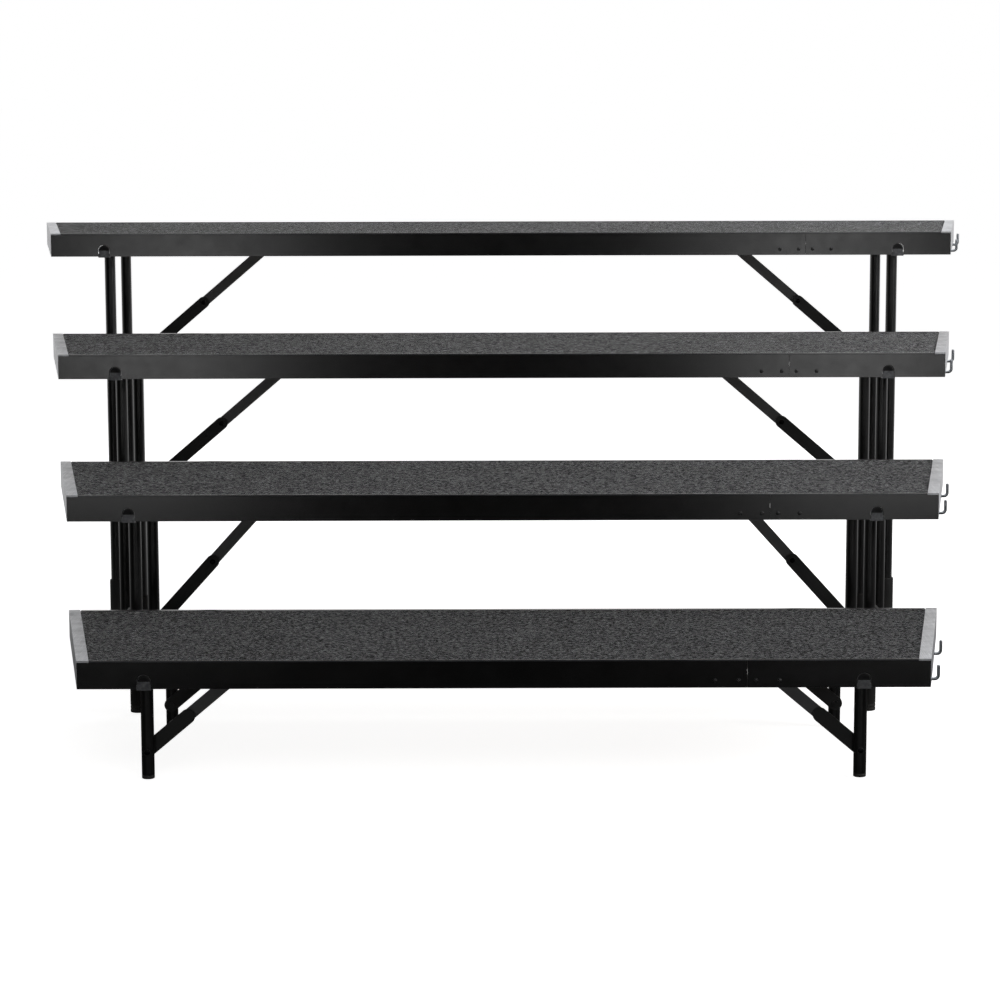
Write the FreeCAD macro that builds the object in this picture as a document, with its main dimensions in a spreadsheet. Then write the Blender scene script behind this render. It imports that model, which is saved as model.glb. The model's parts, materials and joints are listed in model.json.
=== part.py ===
import FreeCAD, Part
import math
import os
from types import SimpleNamespace

import Sketcher

# Tapered four-level folding choir riser, in millimetres.
# Frame: origin on the floor under the middle of the riser, +X to the singers' left as they
# face the audience, +Y from the front (lowest) tier to the rear (highest), +Z up.
# Most pieces are drawn in their tier's own frame, whose origin is the middle of the tier's
# front top edge, and are then placed with that tier.

TIERS = (1, 2, 3, 4)
SIDES = {"left": -1, "right": 1}
PARTS_FOLDER = "parts"

SIZES = {
    # The staircase
    "rise": (203.2, "height of one tier above the tier in front of it"),
    "tread": (457.2, "depth of one tier"),
    "front_width": (1371.6, "width of the lowest tier along its front edge"),
    "tier_growth": (152.4, "width gained over the depth of one tier"),
    # The deck
    "deck_depth": (47.0, "deck top to the lower edge of the rails and end trims"),
    "skin": (3.0, "height of the nosings and trims above the board"),
    "carpet_thickness": (2.5, "carpet glued to the board"),
    "board_thickness": (12.0, "plywood board"),
    "rail_wall": (2.0, "sheet thickness of the folded steel rails"),
    "ledge_depth": (25.0, "rail face to the inner edge of the ledge under the board"),
    "lip_depth": (12.0, "rail face to the inner edge of the bottom lip"),
    "front_nosing": (4.0, "front to back size of a front nosing"),
    "rear_nosing": (10.0, "front to back size of a rear nosing"),
    "nosing_overhang": (2.5, "nosing in front of the rail face"),
    "trim_flange": (20.0, "width of an end trim seen from above"),
    "trim_wall": (3.0, "thickness of the end trim's face"),
    "fit_gap": (0.3, "gap between neighbouring deck pieces"),
    # The splice in the front rail
    "splice_from_end": (295.0, "seam to the right end of the front rail"),
    "splice_length": (150.0, "length of the plate behind the seam"),
    "splice_height": (18.0, "height of the plate behind the seam"),
    "splice_wall": (2.0, "thickness of the plate behind the seam"),
    "screw_near": (14.0, "seam to the inner screws"),
    "screw_far": (52.0, "seam to the outer screws"),
    "screw_drop": (35.0, "deck top to the screws' centre line"),
    "screw_diameter": (5.0, "screw shank"),
    "screw_head": (7.0, "diameter of a screw head"),
    "screw_head_height": (2.2, "height of a screw head"),
    "screw_tail": (4.0, "screw end behind the plate"),
    # The leg frames
    "pivot_inset": (107.0, "front corner of a tier to its leg pivots, along the front edge"),
    "pivot_drop": (35.0, "deck top to the leg pivots"),
    "pivot_tube": (22.4, "diameter of the tube that a leg frame turns on"),
    "pivot_gap": (0.4, "radial play of the pivot tube in its notches"),
    "pivot_end_gap": (0.8, "end of the pivot tube to the face of the rail"),
    "keeper_reach": (2.0, "keeper below the lower edge of the rail"),
    "keeper_drop": (6.0, "pivot axis to the top of a keeper's cheeks"),
    "keeper_width": (20.0, "width of a keeper's tab"),
    "keeper_wall": (1.2, "thickness of a keeper's tab"),
    "leg_tube": (22.0, "diameter of a leg"),
    "front_leg_tube": (21.0, "diameter of a leg on the lowest tier"),
    "cross_tube": (16.0, "diameter of the tube between two legs"),
    "collar_diameter": (22.0, "collars on the cross tube beside the brace"),
    "collar_width": (6.0, "width of a collar"),
    "tube_wall": (1.6, "wall of every tube"),
    "front_leg_inset": (45.0, "tier edge to the leg centres on the lowest tier"),
    "leg_inset": (95.0, "tier edge to the leg centres on the other tiers"),
    "tip_sole": (6.0, "rubber under a leg"),
    "tip_height": (85.0, "height of a rubber sleeve"),
    "tip_diameter": (28.0, "outside of a rubber sleeve"),
    "plug_height": (22.0, "plug inside a leg on the lowest tier"),
    # The folding braces
    "drop_first": (123.0, "leg pivot to the brace pin, down the leg, lowest tier"),
    "reach_first": (146.0, "leg pivot to the brace bracket, along the deck, lowest tier"),
    "drop_second": (258.0, "the same, second tier"),
    "reach_second": (234.0, "the same, second tier"),
    "drop_third": (276.0, "the same, third tier"),
    "reach_third": (323.0, "the same, third tier"),
    "drop_fourth": (276.0, "the same, highest tier"),
    "reach_fourth": (323.0, "the same, highest tier"),
    "lower_link_width": (24.0, "width of the link at the leg"),
    "upper_link_width": (20.0, "width of the link at the deck"),
    "link_thickness": (4.0, "flat bar of both links"),
    "link_gap": (3.0, "space between the two links' planes"),
    "side_gap": (0.5, "play beside a link"),
    "eye_wall": (4.5, "metal round the cross tube in a lower link's eye"),
    "pin_gap": (0.1, "radial play of a brace pin"),
    "pin_diameter": (8.0, "bracket pin"),
    "rivet_diameter": (6.0, "rivet through a short leg"),
    "rivet_head": (10.0, "diameter of a rivet head"),
    "rivet_head_height": (1.8, "height of a rivet head"),
    "knee_boss": (13.0, "diameter of the boss between the links at the knee"),
    "knee_gap": (0.6, "space left at the knee"),
    "bracket_wall": (2.5, "sheet of the brackets under the deck"),
    "bracket_length": (44.0, "bracket along the deck"),
    "bracket_width": (26.0, "bracket across the deck"),
    "ear_width": (22.0, "width of a bracket's ear"),
    "bracket_screw_head": (7.5, "heads of the bracket's screws"),
    "bracket_screw_spacing": (26.0, "between the bracket's screws"),
    # The hooks that join risers side by side and tiers front to back
    "hook_rod": (5.5, "rod of the side hooks"),
    "hook_out": (11.0, "end trim to the upright of a side hook"),
    "hook_bend": (6.0, "bend radius of a side hook"),
    "hook_rise": (23.5, "rod centre to the tip of a side hook"),
    "hook_root": (12.0, "rod inside the end trim"),
    "hook_front": (40.0, "front edge to the front side hook"),
    "hook_rear": (250.0, "front edge to the rear side hook"),
    "hook_drop": (41.0, "deck top to the rod of a side hook"),
    "slot_width": (8.0, "slot in the left trim for a neighbour's hook"),
    "slot_height": (28.0, "slot in the left trim for a neighbour's hook"),
    "slot_below": (2.5, "slot's lower end to the lower edge of the trim"),
    "catch_wall": (4.0, "flat bar of a leg catch"),
    "catch_height": (25.0, "height of a leg catch"),
    "catch_drop": (16.0, "deck top to the top of a leg catch"),
    "catch_gap": (1.0, "space round the leg in a catch"),
    "catch_foot": (30.0, "part of a catch that lies on the rail"),
}

BRACE_SIZES = {
    1: ("drop_first", "reach_first"),
    2: ("drop_second", "reach_second"),
    3: ("drop_third", "reach_third"),
    4: ("drop_fourth", "reach_fourth"),
}


class Size:
    """A length or angle: its number, and the sheet expression that it stays bound to."""

    def __init__(self, number, text):
        self.number = number
        self.text = text

    def __add__(self, other):
        other = as_size(other)
        return Size(self.number + other.number, f"({self.text} + {other.text})")

    def __sub__(self, other):
        other = as_size(other)
        return Size(self.number - other.number, f"({self.text} - {other.text})")

    def __mul__(self, other):
        other = as_size(other)
        return Size(self.number * other.number, f"({self.text} * {other.text})")

    def __truediv__(self, other):
        other = as_size(other)
        return Size(self.number / other.number, f"({self.text} / {other.text})")

    def __neg__(self):
        return self * -1

    def __radd__(self, other):
        return as_size(other) + self

    def __rsub__(self, other):
        return as_size(other) - self

    def __rmul__(self, other):
        return as_size(other) * self


def as_size(value):
    if isinstance(value, Size):
        return value
    return Size(float(value), f"({value})")


def root_of(value):
    return Size(math.sqrt(value.number), f"sqrt({value.text})")


def angle_of(opposite, adjacent):
    """The angle, in degrees, whose tangent is opposite over adjacent."""
    ratio = opposite / adjacent
    return Size(math.degrees(math.atan(ratio.number)), f"(atan({ratio.text}) / 1deg)")


doc = FreeCAD.newDocument("choir_riser")


def make_sheet():
    """Write the driving sizes as plain numbers with aliases, and return them by name."""
    sheet = doc.addObject("Spreadsheet::Sheet", "sizes")
    sheet.Label = "sizes"
    named = {}
    for row, (alias, (value, meaning)) in enumerate(SIZES.items(), start=1):
        sheet.set(f"A{row}", meaning)
        sheet.set(f"B{row}", str(value))
        sheet.setAlias(f"B{row}", alias)
        named[alias] = Size(value, f"sizes.{alias}")
    doc.recompute()
    return SimpleNamespace(**named)


s = make_sheet()

# Worked-out sizes that several pieces share, all in a tier's own frame
TAPER = s.tier_growth / s.tread * 0.5
BOARD_TOP = -s.skin
BOARD_BOTTOM = BOARD_TOP - s.board_thickness
RAIL_FACE = s.nosing_overhang
REAR_FACE = s.tread - s.nosing_overhang
PIVOT_RADIUS = s.pivot_tube / 2
NOTCH_RADIUS = PIVOT_RADIUS + s.pivot_gap
CROSS_RADIUS = s.cross_tube / 2
ALONG_Y = FreeCAD.Rotation(FreeCAD.Vector(1, 0, 0), -90)
ALONG_X = FreeCAD.Rotation(FreeCAD.Vector(0, 1, 0), 90)
UP_FROM_X = FreeCAD.Rotation(
    FreeCAD.Vector(0, 0, -1), FreeCAD.Vector(1, 0, 0), FreeCAD.Vector(0, -1, 0), "XYZ"
)
nodes = []


def front_half(tier):
    """Half the width of a tier along its front edge."""
    return s.front_width / 2 + s.tier_growth / 2 * (tier - 1)


def half_width(tier, y):
    """Half the width of a tier at a distance behind its front edge."""
    return front_half(tier) + TAPER * y


def pivot_x(tier):
    return front_half(tier) - s.pivot_inset


def leg_radius(tier):
    return (s.front_leg_tube if tier == 1 else s.leg_tube) / 2


def leg_inset(tier):
    return s.front_leg_inset if tier == 1 else s.leg_inset


def floor_z(tier):
    """The floor, in the tier's own frame."""
    return -(s.rise * tier)


def brace_size(tier):
    """Pivot to pin down the leg, pivot to bracket along the deck, and pin to bracket."""
    drop_name, reach_name = BRACE_SIZES[tier]
    drop = getattr(s, drop_name)
    reach = getattr(s, reach_name)
    return drop, reach, root_of(drop * drop + reach * reach)


def link_lengths(tier):
    """Lengths of the lower and upper link.

    They add up to the straight brace at rest, and differ by the distance between pin and
    bracket when the leg is folded. On the two lower tiers the knee folds towards the leg
    pivot, on the two higher tiers away from it.
    """
    drop, reach, straight = brace_size(tier)
    if tier <= 2:
        lower = (straight - reach + drop) / 2
    else:
        lower = (straight + reach - drop) / 2
    return lower, straight - lower


def bind(item, **values):
    """Set properties and keep them bound to the sheet."""
    for name, value in values.items():
        value = as_size(value)
        setattr(item, name, value.number)
        item.setExpression(name, value.text)
    return item


def place(item, x=0, y=0, z=0, rotation=None):
    """Place an object at a bound position."""
    values = [as_size(value) for value in (x, y, z)]
    position = FreeCAD.Vector(*[value.number for value in values])
    item.Placement = FreeCAD.Placement(position, rotation or FreeCAD.Rotation())
    for axis, value in zip("xyz", values):
        item.setExpression(f"Placement.Base.{axis}", value.text)
    return item


def place_with_tier(item, tier, x=0, z=0, rotation=None):
    """Place an object that is drawn in its tier's own frame."""
    front = s.tread * (tier - 1 - len(TIERS) / 2)
    return place(item, x, front, s.rise * tier + z, rotation)


def node(item, name):
    """Name a finished piece after its file."""
    item.Label = name
    nodes.append(item)
    return item


def box(name, low, high):
    """A box between two corners."""
    item = doc.addObject("Part::Box", name)
    low = [as_size(value) for value in low]
    high = [as_size(value) for value in high]
    bind(item, Length=high[0] - low[0], Width=high[1] - low[1], Height=high[2] - low[2])
    return place(item, *low)


def cylinder(name, radius, start, length, rotation=None):
    """A round bar from a start point, along Z or turned along another axis."""
    item = doc.addObject("Part::Cylinder", name)
    bind(item, Radius=radius, Height=length)
    return place(item, *start, rotation=rotation)


def bar_along_y(name, radius, x, z, front, back):
    return cylinder(name, radius, (x, front, z), back - front, ALONG_Y)


def fuse(name, pieces):
    item = doc.addObject("Part::MultiFuse", name)
    item.Shapes = pieces
    return item


def cut(name, base, tools):
    item = doc.addObject("Part::Cut", name)
    item.Base = base
    item.Tool = tools[0] if len(tools) == 1 else fuse(name + "_tools", tools)
    return item


def group(name, pieces):
    item = doc.addObject("Part::Compound", name)
    item.Links = pieces
    return item


def origin_plane(body, role):
    return next(part for part in body.Origin.OriginFeatures if part.Role == role)


def add_outline(sketch, corners):
    """Draw a closed outline and bind the place of each corner."""
    points = [FreeCAD.Vector(as_size(x).number, as_size(y).number, 0) for x, y in corners]
    count = len(points)
    for index in range(count):
        sketch.addGeometry(Part.LineSegment(points[index], points[(index + 1) % count]))
    for index in range(count):
        sketch.addConstraint(Sketcher.Constraint("Coincident", index, 2, (index + 1) % count, 1))
    for index, corner in enumerate(corners):
        for kind, value in zip(("DistanceX", "DistanceY"), corner):
            value = as_size(value)
            rule = Sketcher.Constraint(kind, -1, 1, index, 1, value.number)
            number = sketch.addConstraint(rule)
            sketch.setExpression(f"Constraints[{number}]", value.text)


def prism(name, plane, corners, start, length):
    """A body padded from an outline on one of its origin planes, from start by length."""
    body = doc.addObject("PartDesign::Body", name)
    sketch = body.newObject("Sketcher::SketchObject", name + "_outline")
    sketch.AttachmentSupport = (origin_plane(body, plane), [""])
    sketch.MapMode = "FlatFace"
    start = as_size(start)
    offset = FreeCAD.Vector(0, 0, start.number)
    sketch.AttachmentOffset = FreeCAD.Placement(offset, FreeCAD.Rotation())
    sketch.setExpression("AttachmentOffset.Base.z", start.text)
    add_outline(sketch, corners)
    pad = body.newObject("PartDesign::Pad", name + "_pad")
    pad.Profile = sketch
    bind(pad, Length=length)
    sketch.Visibility = False
    body.Tip = pad
    return body


def trapezoid(tier, front, back, inset):
    """Plan of a deck layer between two depths, a distance inside the end trims' outside."""
    front_x = half_width(tier, front) - inset
    back_x = half_width(tier, back) - inset
    return [(-front_x, front), (front_x, front), (back_x, back), (-back_x, back)]


def deck_panel(tier):
    name = f"deck_panel_{tier}"
    plan = trapezoid(
        tier,
        RAIL_FACE + s.rail_wall + s.fit_gap,
        REAR_FACE - s.rail_wall - s.fit_gap,
        s.trim_wall + s.fit_gap,
    )
    board = prism(name, "XY_Plane", plan, BOARD_BOTTOM, s.board_thickness)
    return node(place_with_tier(board, tier), name)


def deck_carpet(tier):
    name = f"deck_carpet_{tier}"
    front = s.front_nosing + s.fit_gap
    back = s.tread - s.rear_nosing - s.fit_gap
    plan = trapezoid(tier, front, back, s.trim_flange + s.fit_gap)
    carpet = prism(name, "XY_Plane", plan, BOARD_TOP, s.carpet_thickness)
    return node(place_with_tier(carpet, tier), name)


def rail_profile(face, inward):
    """Folded sheet: a web with a ledge under the board and a lip along the bottom."""
    web = face + s.rail_wall * inward
    ledge = face + s.ledge_depth * inward
    lip = face + s.lip_depth * inward
    bottom = -s.deck_depth
    return [
        (face, bottom),
        (lip, bottom),
        (lip, bottom + s.rail_wall),
        (web, bottom + s.rail_wall),
        (web, BOARD_BOTTOM - s.rail_wall),
        (ledge, BOARD_BOTTOM - s.rail_wall),
        (ledge, BOARD_BOTTOM),
        (web, BOARD_BOTTOM),
        (web, BOARD_TOP),
        (face, BOARD_TOP),
    ]


def notch_tools(name, tier, face, inward):
    """Arched notches for the pivot tubes, open at the bottom of a rail."""
    tools = []
    past = 1
    low_y = face - past if inward > 0 else face - s.lip_depth - past
    high_y = low_y + s.lip_depth + 2 * past
    for side, sign in SIDES.items():
        x = pivot_x(tier) * sign
        low = (x - NOTCH_RADIUS, low_y, -s.deck_depth - past)
        high = (x + NOTCH_RADIUS, high_y, -s.pivot_drop)
        tools.append(box(f"{name}_gap_{side}", low, high))
        arch = bar_along_y(f"{name}_arch_{side}", NOTCH_RADIUS, x, -s.pivot_drop, low_y, high_y)
        tools.append(arch)
    return tools


def seam_x(tier):
    return front_half(tier) - s.splice_from_end


def screw_places(tier):
    """Where the splice screws go along the front rail."""
    seam = seam_x(tier)
    return [seam - s.screw_far, seam - s.screw_near, seam + s.screw_near, seam + s.screw_far]


def screw_bars(name, tier, front, back, radius):
    """One bar along Y at each splice screw."""
    places = enumerate(screw_places(tier), start=1)
    return [bar_along_y(f"{name}_{i}", radius, x, -s.screw_drop, front, back) for i, x in places]


def rail_length(name, face, inward, start, end, web_start, web_end):
    """A length of rail whose web runs on past its ledge and lip."""
    folds = prism(name + "_folds", "YZ_Plane", rail_profile(face, inward), start, end - start)
    front = face if inward > 0 else face - s.rail_wall
    low = (web_start, front, -s.deck_depth)
    high = (web_end, front + s.rail_wall, BOARD_TOP)
    return fuse(name, [folds, box(name + "_web", low, high)])


def front_rail(tier):
    """The front rail in two lengths, with a seam towards the right end."""
    name = f"front_rail_{tier}"
    web_end = front_half(tier)
    end = web_end - s.trim_wall - s.fit_gap
    seam = seam_x(tier)
    start = seam + s.fit_gap
    main_length = rail_length(name + "_main", RAIL_FACE, 1, -end, seam, -web_end, seam)
    extension = rail_length(name + "_extension", RAIL_FACE, 1, start, end, start, web_end)
    back = RAIL_FACE + s.rail_wall + 1
    tools = notch_tools(name, tier, RAIL_FACE, 1)
    tools += screw_bars(name + "_hole", tier, RAIL_FACE - 1, back, s.screw_diameter / 2)
    rail = cut(name, group(name + "_lengths", [main_length, extension]), tools)
    return node(place_with_tier(rail, tier), name)


def rear_rail(tier):
    name = f"rear_rail_{tier}"
    web_end = half_width(tier, REAR_FACE - s.rail_wall)
    end = half_width(tier, REAR_FACE - s.ledge_depth) - s.trim_wall - s.fit_gap
    length = rail_length(name + "_length", REAR_FACE, -1, -end, end, -web_end, web_end)
    rail = cut(name, length, notch_tools(name, tier, REAR_FACE, -1))
    return node(place_with_tier(rail, tier), name)


def slanted_plan(tier, sign, front, back, width):
    """Plan of a strip along the slanted end of a tier, between two depths."""
    front_x = half_width(tier, front) * sign
    back_x = half_width(tier, back) * sign
    step = width * sign
    return [(front_x - step, front), (front_x, front), (back_x, back), (back_x - step, back)]


def hook_places(tier):
    """Depth and outer face of the end trim at each side hook."""
    return [(y, half_width(tier, y)) for y in (s.hook_front, s.hook_rear)]


def end_trim(tier, side, sign):
    """Aluminium angle: a face over the deck's end and a flange over the board's edge."""
    name = f"end_trim_{tier}_{side}"
    face_front = RAIL_FACE + s.rail_wall + s.fit_gap
    face_plan = slanted_plan(tier, sign, face_front, s.tread - face_front, s.trim_wall)
    flange_plan = slanted_plan(tier, sign, as_size(0), s.tread, s.trim_flange)
    face = prism(name + "_face", "XY_Plane", face_plan, -s.deck_depth, s.deck_depth)
    flange = prism(name + "_flange", "XY_Plane", flange_plan, BOARD_TOP, s.skin)
    angle = fuse(name + "_angle", [face, flange])
    tools = []
    for number, (y, outside) in enumerate(hook_places(tier), start=1):
        reach = s.trim_wall + s.hook_root
        if side == "right":
            start = (outside - reach, y, -s.hook_drop)
            tool = cylinder(f"{name}_hole_{number}", s.hook_rod / 2, start, reach * 2, ALONG_X)
        else:
            bottom = -s.deck_depth + s.slot_below
            low = (-outside - reach, y - s.slot_width / 2, bottom)
            high = (-outside + reach, y + s.slot_width / 2, bottom + s.slot_height)
            tool = box(f"{name}_slot_{number}", low, high)
        tools.append(tool)
    return cut(name, angle, tools)


def end_trims(tier):
    name = f"end_trims_{tier}"
    trims = group(name, [end_trim(tier, side, sign) for side, sign in SIDES.items()])
    return node(place_with_tier(trims, tier), name)


def edge_nosings():
    """Black anodised strips over the front and rear edges of every tier."""
    strips = []
    for tier in TIERS:
        spans = {"front": (as_size(0), s.front_nosing), "rear": (s.tread - s.rear_nosing, s.tread)}
        for edge, (front, back) in spans.items():
            end = half_width(tier, front) - s.trim_flange - s.fit_gap
            low = (-end, front, BOARD_TOP)
            high = (end, back, 0)
            strip = group(f"nosing_{tier}_{edge}", [box(f"strip_{tier}_{edge}", low, high)])
            strips.append(place_with_tier(strip, tier))
    return node(place(group("edge_nosings", strips)), "edge_nosings")


def splice_plates():
    plates = []
    for tier in TIERS:
        seam = seam_x(tier)
        inside = RAIL_FACE + s.rail_wall
        middle = -s.screw_drop
        low = (seam - s.splice_length / 2, inside, middle - s.splice_height / 2)
        high = (seam + s.splice_length / 2, inside + s.splice_wall, middle + s.splice_height / 2)
        blank = box(f"splice_blank_{tier}", low, high)
        back = inside + s.splice_wall + 1
        holes = screw_bars(f"splice_hole_{tier}", tier, inside - 1, back, s.screw_diameter / 2)
        plates.append(place_with_tier(cut(f"splice_plate_{tier}", blank, holes), tier))
    return node(place(group("splice_plates", plates)), "splice_plates")


def splice_screws():
    screws = []
    for tier in TIERS:
        head_front = RAIL_FACE - s.screw_head_height
        tail = RAIL_FACE + s.rail_wall + s.splice_wall + s.screw_tail
        name = f"screws_{tier}"
        heads = screw_bars(name + "_head", tier, head_front, RAIL_FACE, s.screw_head / 2)
        shanks = screw_bars(name + "_shank", tier, RAIL_FACE, tail, s.screw_diameter / 2)
        pairs = enumerate(zip(heads, shanks), start=1)
        row = group(name, [fuse(f"{name}_screw_{i}", list(pair)) for i, pair in pairs])
        screws.append(place_with_tier(row, tier))
    return node(place(group("splice_screws", screws)), "splice_screws")


def pivot_keepers():
    """Blocks that close the notches under the pivot tubes, each with a tab over the tube's end."""
    keepers = []
    edges = {
        "front": (RAIL_FACE, RAIL_FACE - s.keeper_wall),
        "rear": (REAR_FACE - s.lip_depth, REAR_FACE),
    }
    for tier in TIERS:
        for edge, (front, tab_front) in edges.items():
            for side, sign in SIDES.items():
                name = f"keeper_{tier}_{edge}_{side}"
                x = pivot_x(tier) * sign
                low = (x - NOTCH_RADIUS, front, -s.deck_depth - s.keeper_reach)
                high = (x + NOTCH_RADIUS, front + s.lip_depth, -s.pivot_drop - s.keeper_drop)
                block = box(name + "_block", low, high)
                back = front + s.lip_depth
                seat = bar_along_y(name + "_seat", NOTCH_RADIUS, x, -s.pivot_drop, front, back)
                cradle = cut(name + "_cradle", block, [seat])
                low = (x - s.keeper_width / 2, tab_front, -s.deck_depth - s.keeper_reach)
                high = (x + s.keeper_width / 2, tab_front + s.keeper_wall, -s.pivot_drop)
                tab = box(name + "_tab", low, high)
                keepers.append(place_with_tier(fuse(name, [cradle, tab]), tier))
    return node(place(group("pivot_keepers", keepers)), "pivot_keepers")


def leg_places(tier):
    """Centre of each leg along the tier's depth, and the way to the middle of the tier."""
    inset = leg_inset(tier)
    return {"front": (inset, 1), "rear": (s.tread - inset, -1)}


def brace_planes(tier):
    """For each brace of a side: start of the lower link's plane and its way along Y."""
    if tier == 1:
        beside = leg_radius(tier) + s.side_gap
        return [(y + beside * way, way) for y, way in leg_places(tier).values()]
    return [(s.tread / 2 - s.link_gap / 2 - s.link_thickness, 1)]


def layer(start, way, offset, thickness):
    """Front and back of a layer that begins an offset past a start, going one way along Y."""
    near = start + offset * way
    far = near + thickness * way
    return (near, far) if way > 0 else (far, near)


def leg_rivets(name, tier, sign):
    """Rivets that hold the lower links on the short legs, and the bars that make their holes."""
    rivets = []
    holes = []
    drop = brace_size(tier)[0]
    x = pivot_x(tier) * sign
    z = -s.pivot_drop - drop
    for place_name, (y, way) in leg_places(tier).items():
        outside = y - leg_radius(tier) * way
        through = leg_radius(tier) * 2 + s.side_gap * 2 + s.link_thickness
        label = f"{name}_rivet_{place_name}"
        spans = {
            "head": (s.rivet_head / 2, layer(outside, -way, 0, s.rivet_head_height)),
            "shank": (s.rivet_diameter / 2, layer(outside, way, 0, through)),
            "tail": (s.rivet_head / 2, layer(outside, way, through, s.rivet_head_height)),
        }
        pieces = [
            bar_along_y(f"{label}_{part}", radius, x, z, *span)
            for part, (radius, span) in spans.items()
        ]
        rivets.append(fuse(label, pieces))
        span = layer(outside, way, 0, leg_radius(tier) * 2)
        holes.append(bar_along_y(f"{label}_hole", s.rivet_diameter / 2, x, z, *span))
    return rivets, holes


def cross_tube(name, tier, x, ends):
    """The tube that the brace turns on, with a collar on each side of the brace, and its bore."""
    z = -s.pivot_drop - brace_size(tier)[0]
    start, way = brace_planes(tier)[0]
    beyond = s.link_thickness + s.side_gap
    before = layer(start, -way, s.side_gap, s.collar_width)
    after = layer(start, way, beyond, s.collar_width)
    solid = [
        bar_along_y(name, CROSS_RADIUS, x, z, *ends),
        bar_along_y(name + "_collar_1", s.collar_diameter / 2, x, z, *before),
        bar_along_y(name + "_collar_2", s.collar_diameter / 2, x, z, *after),
    ]
    return solid, bar_along_y(name + "_bore", CROSS_RADIUS - s.tube_wall, x, z, *ends)


def leg_frame(tier, side, sign):
    """Two legs welded under a pivot tube, with a cross tube on the higher tiers."""
    name = f"leg_frame_{tier}_{side}"
    x = pivot_x(tier) * sign
    radius = leg_radius(tier)
    foot = floor_z(tier) + s.tip_sole
    height = -s.pivot_drop - foot
    tube_ends = (RAIL_FACE + s.pivot_end_gap, REAR_FACE - s.pivot_end_gap)
    outside = [bar_along_y(name + "_pivot", PIVOT_RADIUS, x, -s.pivot_drop, *tube_ends)]
    past = (tube_ends[0] - 1, tube_ends[1] + 1)
    bore = PIVOT_RADIUS - s.tube_wall
    inside = [bar_along_y(name + "_pivot_bore", bore, x, -s.pivot_drop, *past)]
    ends = []
    for place_name, (y, way) in leg_places(tier).items():
        label = f"{name}_{place_name}"
        outside.append(cylinder(label, radius, (x, y, foot), height))
        hollow = height - PIVOT_RADIUS + 1
        inside.append(cylinder(label + "_bore", radius - s.tube_wall, (x, y, foot - 1), hollow))
        ends.append(y)
    if tier == 1:
        rivets, holes = leg_rivets(name, tier, sign)
        welded = cut(name + "_weldment", fuse(name + "_tubes", outside), inside + holes)
        frame = group(name, [welded] + rivets)
    else:
        solid, hollow = cross_tube(name + "_cross", tier, x, ends)
        frame = cut(name, fuse(name + "_tubes", outside + solid), inside + [hollow])
    return node(place_with_tier(frame, tier), name)


def foot_plug(name, tier, x, y):
    """A sole as wide as the leg, on a plug that fills the end of the tube."""
    radius = leg_radius(tier)
    top = floor_z(tier) + s.tip_sole
    sole = cylinder(name + "_sole", radius, (x, y, floor_z(tier)), s.tip_sole)
    plug = cylinder(name + "_plug", radius - s.tube_wall, (x, y, top), s.plug_height)
    return fuse(name, [sole, plug])


def foot_sleeve(name, tier, x, y):
    """A tall cup that the leg stands in."""
    base = (x, y, floor_z(tier))
    mouth = (x, y, floor_z(tier) + s.tip_sole)
    outside = cylinder(name + "_outside", s.tip_diameter / 2, base, s.tip_height)
    socket = cylinder(name + "_socket", leg_radius(tier), mouth, s.tip_height)
    return cut(name, outside, [socket])


def leg_tips(tier, side, sign):
    """Rubber feet of one leg frame."""
    name = f"leg_tips_{tier}_{side}"
    x = pivot_x(tier) * sign
    make = foot_plug if tier == 1 else foot_sleeve
    places = leg_places(tier).items()
    tips = [make(f"{name}_{place_name}", tier, x, y) for place_name, (y, way) in places]
    return node(place_with_tier(group(name, tips), tier), name)


def link_blank(name, length, width, span, eye_radius):
    """A flat bar with round ends, drawn along X from its first pin."""
    front, back = span
    middle = box(name + "_bar", (0, front, -width / 2), (length, back, width / 2))
    eye = bar_along_y(name + "_eye", eye_radius, 0, 0, front, back)
    end = bar_along_y(name + "_end", width / 2, length, 0, front, back)
    return [middle, eye, end]


def brace_angle(tier):
    """Slope of the straight brace above the floor."""
    drop, reach, straight = brace_size(tier)
    return angle_of(drop, reach)


def place_link(item, tier, x, z, about_y, angle):
    """Place a link that is drawn along X, turned about the Y axis by a bound angle."""
    rotation = FreeCAD.Rotation(FreeCAD.Vector(0, about_y, 0), angle.number)
    place_with_tier(item, tier, x, z, rotation)
    item.setExpression("Placement.Rotation.Angle", angle.text)
    return item


def lower_link(name, tier, start, way):
    """The link that turns on the leg: on a rivet, or round the cross tube.

    Beside the short legs its knee rivet is flush, so that the link folds past the leg.
    """
    length = link_lengths(tier)[0]
    if tier == 1:
        hole_radius = s.rivet_diameter / 2 + s.pin_gap
        eye_radius = s.lower_link_width / 2
    else:
        hole_radius = CROSS_RADIUS + s.pin_gap
        eye_radius = hole_radius + s.eye_wall
    span = layer(start, way, 0, s.link_thickness)
    past = layer(start, way, -1, s.link_thickness + 2)
    head = layer(start, -way, 0, s.rivet_head_height)
    boss = layer(start, way, s.link_thickness, s.link_gap - s.knee_gap)
    solid = link_blank(name, length, s.lower_link_width, span, eye_radius)
    solid.append(bar_along_y(name + "_knee_boss", s.knee_boss / 2, length, 0, *boss))
    if tier > 1:
        solid.append(bar_along_y(name + "_knee_head", s.rivet_head / 2, length, 0, *head))
    hole = bar_along_y(name + "_hole", hole_radius, 0, 0, *past)
    return cut(name, fuse(name + "_solid", solid), [hole])


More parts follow.
